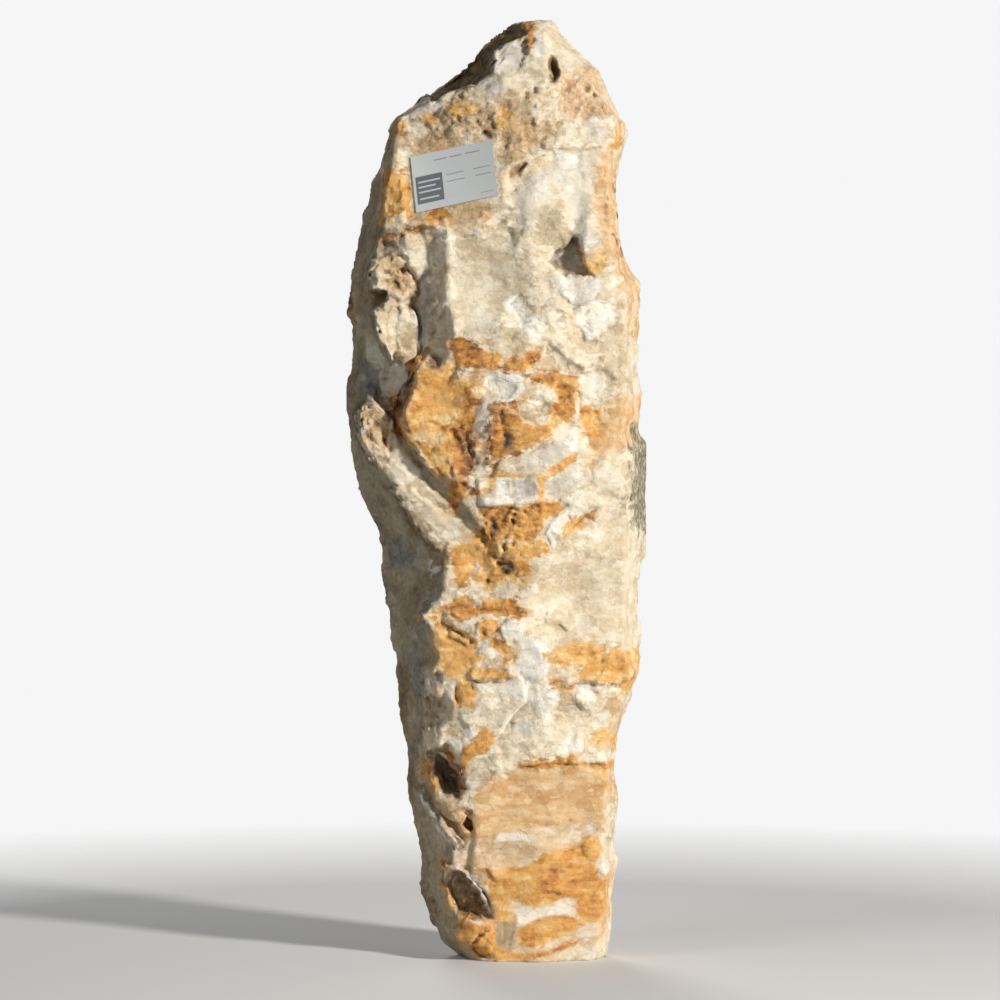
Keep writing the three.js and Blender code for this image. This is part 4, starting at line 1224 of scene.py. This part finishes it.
# Painted shade: tan-brown over faces in half shade or shadow, beside a dull tone of the stone's own.
beige_and_shade_tone = (patchy * 0.7 + streak * 0.3).tones((0.36, rgb(140, 120, 92)), (0.5, rgb(178, 158, 126)),
                                                 (0.62, rgb(208, 192, 162)))
base = base.under(beige_and_shade_tone, stain("beige", 0, 4.0) * 0.75)
tan_tone = (mottle * 0.5 + fleck * 0.5).tones((0.36, rgb(150, 116, 74)), (0.5, rgb(200, 170, 128)),
                                              (0.64, rgb(232, 216, 186)))
tan_tone = tan_tone.under(rgb(240, 230, 208), cloud.cut(0.53, 0.6) * 0.6)
tan_tone = tan_tone.under(rgb(206, 148, 84), cloud.cut(0.46, 0.4) * mottle.cut(0.45, 0.55) * 0.6)
base = base.under(tan_tone, stain("tan_crust", 0, 6.0) * 0.85)
pink_tone = (mottle * 0.5 + fleck * 0.5).tones((0.38, rgb(196, 146, 100)), (0.5, rgb(222, 188, 148)),
                                               (0.62, rgb(238, 220, 194)))
base = base.under(pink_tone, stain("pink_crust", 0, 5.0) * 0.85)

white_tone = (patchy * 0.5 + big * 0.3 + small * 0.2).tones(
    (0.25, rgb(226, 214, 190)), (0.4, rgb(242, 234, 214)), (0.55, rgb(251, 246, 234)),
    (0.75, rgb(240, 233, 218)))
base = base.under(white_tone, stain("white", -0.5, 1.6, 0.8) * 0.92)

ochre_mix = ((field("ochre_depth") - 0.75) * 0.75 + (mottle - 0.5) * 1.1 + (cloud - 0.5) * 0.9
             + (bed - 0.5) * 1.7 + (big - 0.5) * 0.3 + (small - 0.5) * 0.12 + 0.42)
ochre_tone = ochre_mix.tones((0.0, rgb(244, 212, 154)), (0.25, rgb(236, 186, 110)), (0.58, rgb(222, 160, 78)),
                             (0.85, rgb(192, 126, 54)), (1.0, rgb(138, 86, 38)))
ochre_tone = ochre_tone.under(rgb(246, 226, 190), small.cut(0.8, 1.0) * mottle.cut(0.45, 0.6) * 0.5)
ochre_tone = ochre_tone.under(rgb(124, 78, 32), small_edge.cut(0.1, 0.0) * mottle.cut(0.5, 0.4) * 0.35)
base = base.under(ochre_tone, stain("ochre", 0, 1.8) * 0.95)

spots = grain(7, 6, 0.66)
lichen_tone = spots.tones((0.4, rgb(92, 86, 68)), (0.5, rgb(142, 133, 108)), (0.62, rgb(196, 186, 160)))
base = base.under(lichen_tone, stain("lichen", 0, 5.0, 1.4) * 0.9)

# Painted shade darkens the coarse crust's holes, over some brown of their own.
sunk = field("hollow") + (fleck - 0.5) * 1.5
base = base.under(rgb(104, 76, 46), sunk.cut(0.5, 2.6) * field("coarse").cut(-4, 4) * 0.5)
# Thin veins of white crystal, and hair cracks with dirt in them.
base = base.under(rgb(252, 248, 238), vein_edge.cut(0.02, 0.0) * cloud.cut(0.54, 0.62) * 0.2)
base = base.under(rgb(118, 90, 58), vein_edge.cut(0.014, 0.0) * cloud.cut(0.44, 0.38) * 0.4)
# Painted shade darkens the hollows, and a painted highlight lightens the ridges.
base = base.under(rgb(116, 92, 64), sunk.cut(0.7, 3.6) * 0.55)
base = base.under(rgb(244, 238, 224), sunk.cut(-1.0, -3.4) * 0.15)
# Dark soil, deepened with painted shade where the hollows and the left shoulder lie in shadow.
soil_and_shade_tone = mottle.tones((0.36, rgb(84, 66, 44)), (0.62, rgb(154, 128, 92)))
base = base.under(soil_and_shade_tone, stain("soil", 0, 2.5, 0.6))

base.to(onyx_shader, "Base Color")
polish = 0.78 - stain("white", -1, 3.0) * 0.25 - stain("grey", -1, 3.0) * 0.2 + stain("soil") * 0.12
polish.to(onyx_shader, "Roughness")
onyx_shader.inputs["Subsurface Weight"].default_value = 0.1
onyx_shader.inputs["Subsurface Radius"].default_value = (1.0, 0.7, 0.45)
onyx_shader.inputs["Subsurface Scale"].default_value = 0.005
flaky = 1 - field("smooth").cut(-6, 6) * 0.7
relief = (grain(8, 7, 0.66) * 1.3 + fleck * 0.5 + (big_tilt * 0.28 + small_tilt * 0.45) * flaky
          + vein_edge.cut(0.0, 0.02) * cloud.cut(0.44, 0.38) * 0.4)
bump = start.node("ShaderNodeBump", None, Height=relief, Distance=MM, Strength=0.8)
bump.to(onyx_shader, "Normal")

stone.data.materials.clear()
stone.data.materials.append(onyx)
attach(stone, "root")
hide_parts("stone")


# ---- The label card ----
# A laminated A7 paper card, glued to the stone. It is slightly wavy, and its print is a dark block with
# pale rules beside plain grey rules, made as inks of the paper's own material.

card_along, card_up = (axis * np.sign(axis[i]) for axis, i in ((card_axes[0], 0), (card_axes[1], 2)))
CARD_STEPS = (42, 30)
CARD_WAVE = 0.5
CARD_CURL = 0.7  # how far its lower right corner curls off


def card_bend(along, up):
    """How far the sheet bends away from flat at a place from 0 to 1 along and up it."""
    wave = CARD_WAVE * math.sin(math.pi * along) * math.cos(math.pi * up)
    return wave + CARD_CURL * (along * (1 - up)) ** 3


def sheet(steps, sizes, thickness, bend):
    """A closed thin sheet as points (along, up, out), faces, and each point's place from 0 to 1."""
    columns, rows = steps[0] + 1, steps[1] + 1
    points, places = [], []
    for out in (thickness / 2, -thickness / 2):
        for j in range(rows):
            for i in range(columns):
                along, up = i / steps[0], j / steps[1]
                points.append(((along - 0.5) * sizes[0], (up - 0.5) * sizes[1], out + bend(along, up)))
                places.append((along, up))
    faces = []
    back = columns * rows
    for j in range(steps[1]):
        for i in range(steps[0]):
            corner = j * columns + i
            square = (corner, corner + 1, corner + columns + 1, corner + columns)
            faces += [square, tuple(back + k for k in reversed(square))]
    rim = list(range(columns)) + [j * columns + steps[0] for j in range(1, rows)]
    rim += [(rows - 1) * columns + i for i in reversed(range(steps[0]))]
    rim += [j * columns for j in reversed(range(1, rows - 1))]
    for here, there in zip(rim, rim[1:] + rim[:1]):
        faces.append((here, back + here, back + there, there))
    return points, faces, places


points, faces, places = sheet(CARD_STEPS, card_sizes[:2], card_sizes[2], card_bend)
points = np.array(points) @ np.array([card_along, card_up, card_out]) + card_middle
card_mesh = bpy.data.meshes.new("label_card_printed")
card_mesh.from_pydata((points * MM).tolist(), [], faces)
print_map = card_mesh.uv_layers.new(name="print")
for loop in card_mesh.loops:
    print_map.data[loop.index].uv = places[loop.vertex_index]
card = bpy.data.objects.new("label_card_printed", card_mesh)
scene.collection.objects.link(card)

paper, paper_shader, nodes = new_material("white_card")
sheet_place = Wire(nodes, None).node("ShaderNodeUVMap", {"uv_map": "print"})
along = sheet_place.node("ShaderNodeSeparateXYZ", None, 0, Vector=sheet_place)
up = sheet_place.node("ShaderNodeSeparateXYZ", None, 1, Vector=sheet_place)


def printed(left, bottom, right, top, blur=0.004):
    """Where a printed box is, by its sides as shares of the card."""
    across = (along - left).cut(-blur, blur) * (along - right).cut(blur, -blur)
    return across * (up - bottom).cut(-blur, blur) * (up - top).cut(blur, -blur)


# Each ink's colour, and its boxes by their left, bottom, right and top sides.
INKS = {
    "dark block": ((78, 80, 84), [(0.03, 0.13, 0.36, 0.62)]),
    "pale rules": ((196, 202, 203), [(0.06, 0.50, 0.33, 0.53), (0.06, 0.41, 0.27, 0.44),
                                     (0.06, 0.32, 0.33, 0.35), (0.06, 0.20, 0.30, 0.23)]),
    "grey rules": ((128, 131, 134), [(0.28, 0.845, 0.44, 0.865), (0.47, 0.845, 0.62, 0.865),
                                     (0.66, 0.845, 0.84, 0.865), (0.41, 0.545, 0.62, 0.56),
                                     (0.74, 0.545, 0.95, 0.56), (0.41, 0.42, 0.63, 0.435),
                                     (0.76, 0.42, 0.95, 0.435), (0.8, 0.1, 0.95, 0.11)]),
}
faded = sheet_place.node("ShaderNodeTexNoise", None, Vector=sheet_place, Scale=2.0)
# Painted shade: the paper is toned grey, partly for the shade it lies in, and darker still towards its right
# side, which turns away from the light.
print_and_shade_tone = faded.tones((0.3, rgb(204, 209, 209)), (0.7, rgb(218, 221, 221)))
print_and_shade_tone = print_and_shade_tone.under(rgb(186, 189, 187), (along * 0.8 + up * 0.2).cut(0.1, 1.0))
for ink, boxes in INKS.values():
    for box in boxes:
        print_and_shade_tone = print_and_shade_tone.under(rgb(*ink), printed(*box))
print_and_shade_tone.to(paper_shader, "Base Color")
paper_shader.inputs["Roughness"].default_value = 0.45
paper_shader.inputs["Coat Weight"].default_value = 0.6
paper_shader.inputs["Coat Roughness"].default_value = 0.25
card_mesh.materials.append(paper)
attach(card, "root")
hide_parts("label_card")


# ---- Floor, light and camera ----
# The stone stands in a white studio on a pale floor that fades out, so that only its shadow shows on it.
# Sizes here are metres. The camera looks a little down on it from the front.

FLOOR_RADIUS = 1.7
FLOOR_SIDES = 96
floor_mesh = bpy.data.meshes.new("floor")
bearings = np.linspace(0, 2 * math.pi, FLOOR_SIDES, endpoint=False)
corners = [(FLOOR_RADIUS * math.cos(a), FLOOR_RADIUS * math.sin(a), 0) for a in bearings]
floor_mesh.from_pydata(corners, [], [range(FLOOR_SIDES)])
floor = bpy.data.objects.new("floor", floor_mesh)
scene.collection.objects.link(floor)
matt, matt_shader, nodes = new_material("pale_floor")
matt_shader.inputs["Base Color"].default_value = (0.72, 0.72, 0.72, 1)
matt_shader.inputs["Roughness"].default_value = 0.9
here = Wire(nodes, None).node("ShaderNodeTexCoord", None, 3)
from_middle = here.node("ShaderNodeVectorMath", {"operation": "LENGTH"}, 1, in_0=here)
from_middle.cut(1.65, 0.8).to(matt_shader, "Alpha")
floor_mesh.materials.append(matt)


def lamp(name, place, aim, size, power, tint):
    """A square soft light at a place, turned towards its aim."""
    light = bpy.data.lights.new(name, "AREA")
    light.energy, light.size, light.color = power, size, tint
    thing = bpy.data.objects.new(name, light)
    scene.collection.objects.link(thing)
    thing.location = place
    thing.rotation_euler = (Vector(aim) - Vector(place)).to_track_quat("-Z", "Y").to_euler()


lamp("key", (3.02, -2.62, 1.85), (0, 0, 0.58), 0.4, 200, (1.0, 0.965, 0.91))
lamp("window", (-2.0, -1.7, 2.5), (-0.05, 0, 0.9), 1.1, 15, (0.92, 0.96, 1.0))
lamp("back", (-0.9, 3.6, 1.9), (0, 0, 0.6), 1.2, 60, (1.0, 0.98, 0.95))

# The studio is white where it is seen and gives a weak, cool fill.
world = bpy.data.worlds.new("studio")
scene.world = world
world.use_nodes = True
sky = world.node_tree
fill = sky.nodes["Background"]
fill.inputs["Color"].default_value = (0.9, 0.95, 1.0, 1)
fill.inputs["Strength"].default_value = 0.085
paper_roll = sky.nodes.new("ShaderNodeBackground")
paper_roll.inputs["Color"].default_value = (0.92, 0.92, 0.92, 1)
ray = sky.nodes.new("ShaderNodeLightPath")
either = sky.nodes.new("ShaderNodeMixShader")
sky.links.new(ray.outputs["Is Camera Ray"], either.inputs[0])
sky.links.new(fill.outputs[0], either.inputs[1])
sky.links.new(paper_roll.outputs[0], either.inputs[2])
sky.links.new(either.outputs[0], sky.nodes["World Output"].inputs["Surface"])
scene.view_settings.view_transform = "Standard"

VIEW_WIDTH = 1.2406  # at the stone
VIEW_DISTANCE = 6.0
camera = bpy.data.cameras.new("camera")
camera.sensor_width = 36
camera.lens = camera.sensor_width * VIEW_DISTANCE / VIEW_WIDTH
camera_object = bpy.data.objects.new("camera", camera)
scene.collection.objects.link(camera_object)
looked_at = Vector((0.0043, 0, 0.567))
raised = math.radians(2.0)
camera_object.location = looked_at + Vector((0, -math.cos(raised), math.sin(raised))) * VIEW_DISTANCE
camera_object.rotation_euler = (looked_at - camera_object.location).to_track_quat("-Z", "Y").to_euler()
scene.camera = camera_object

bpy.context.view_layer.update()
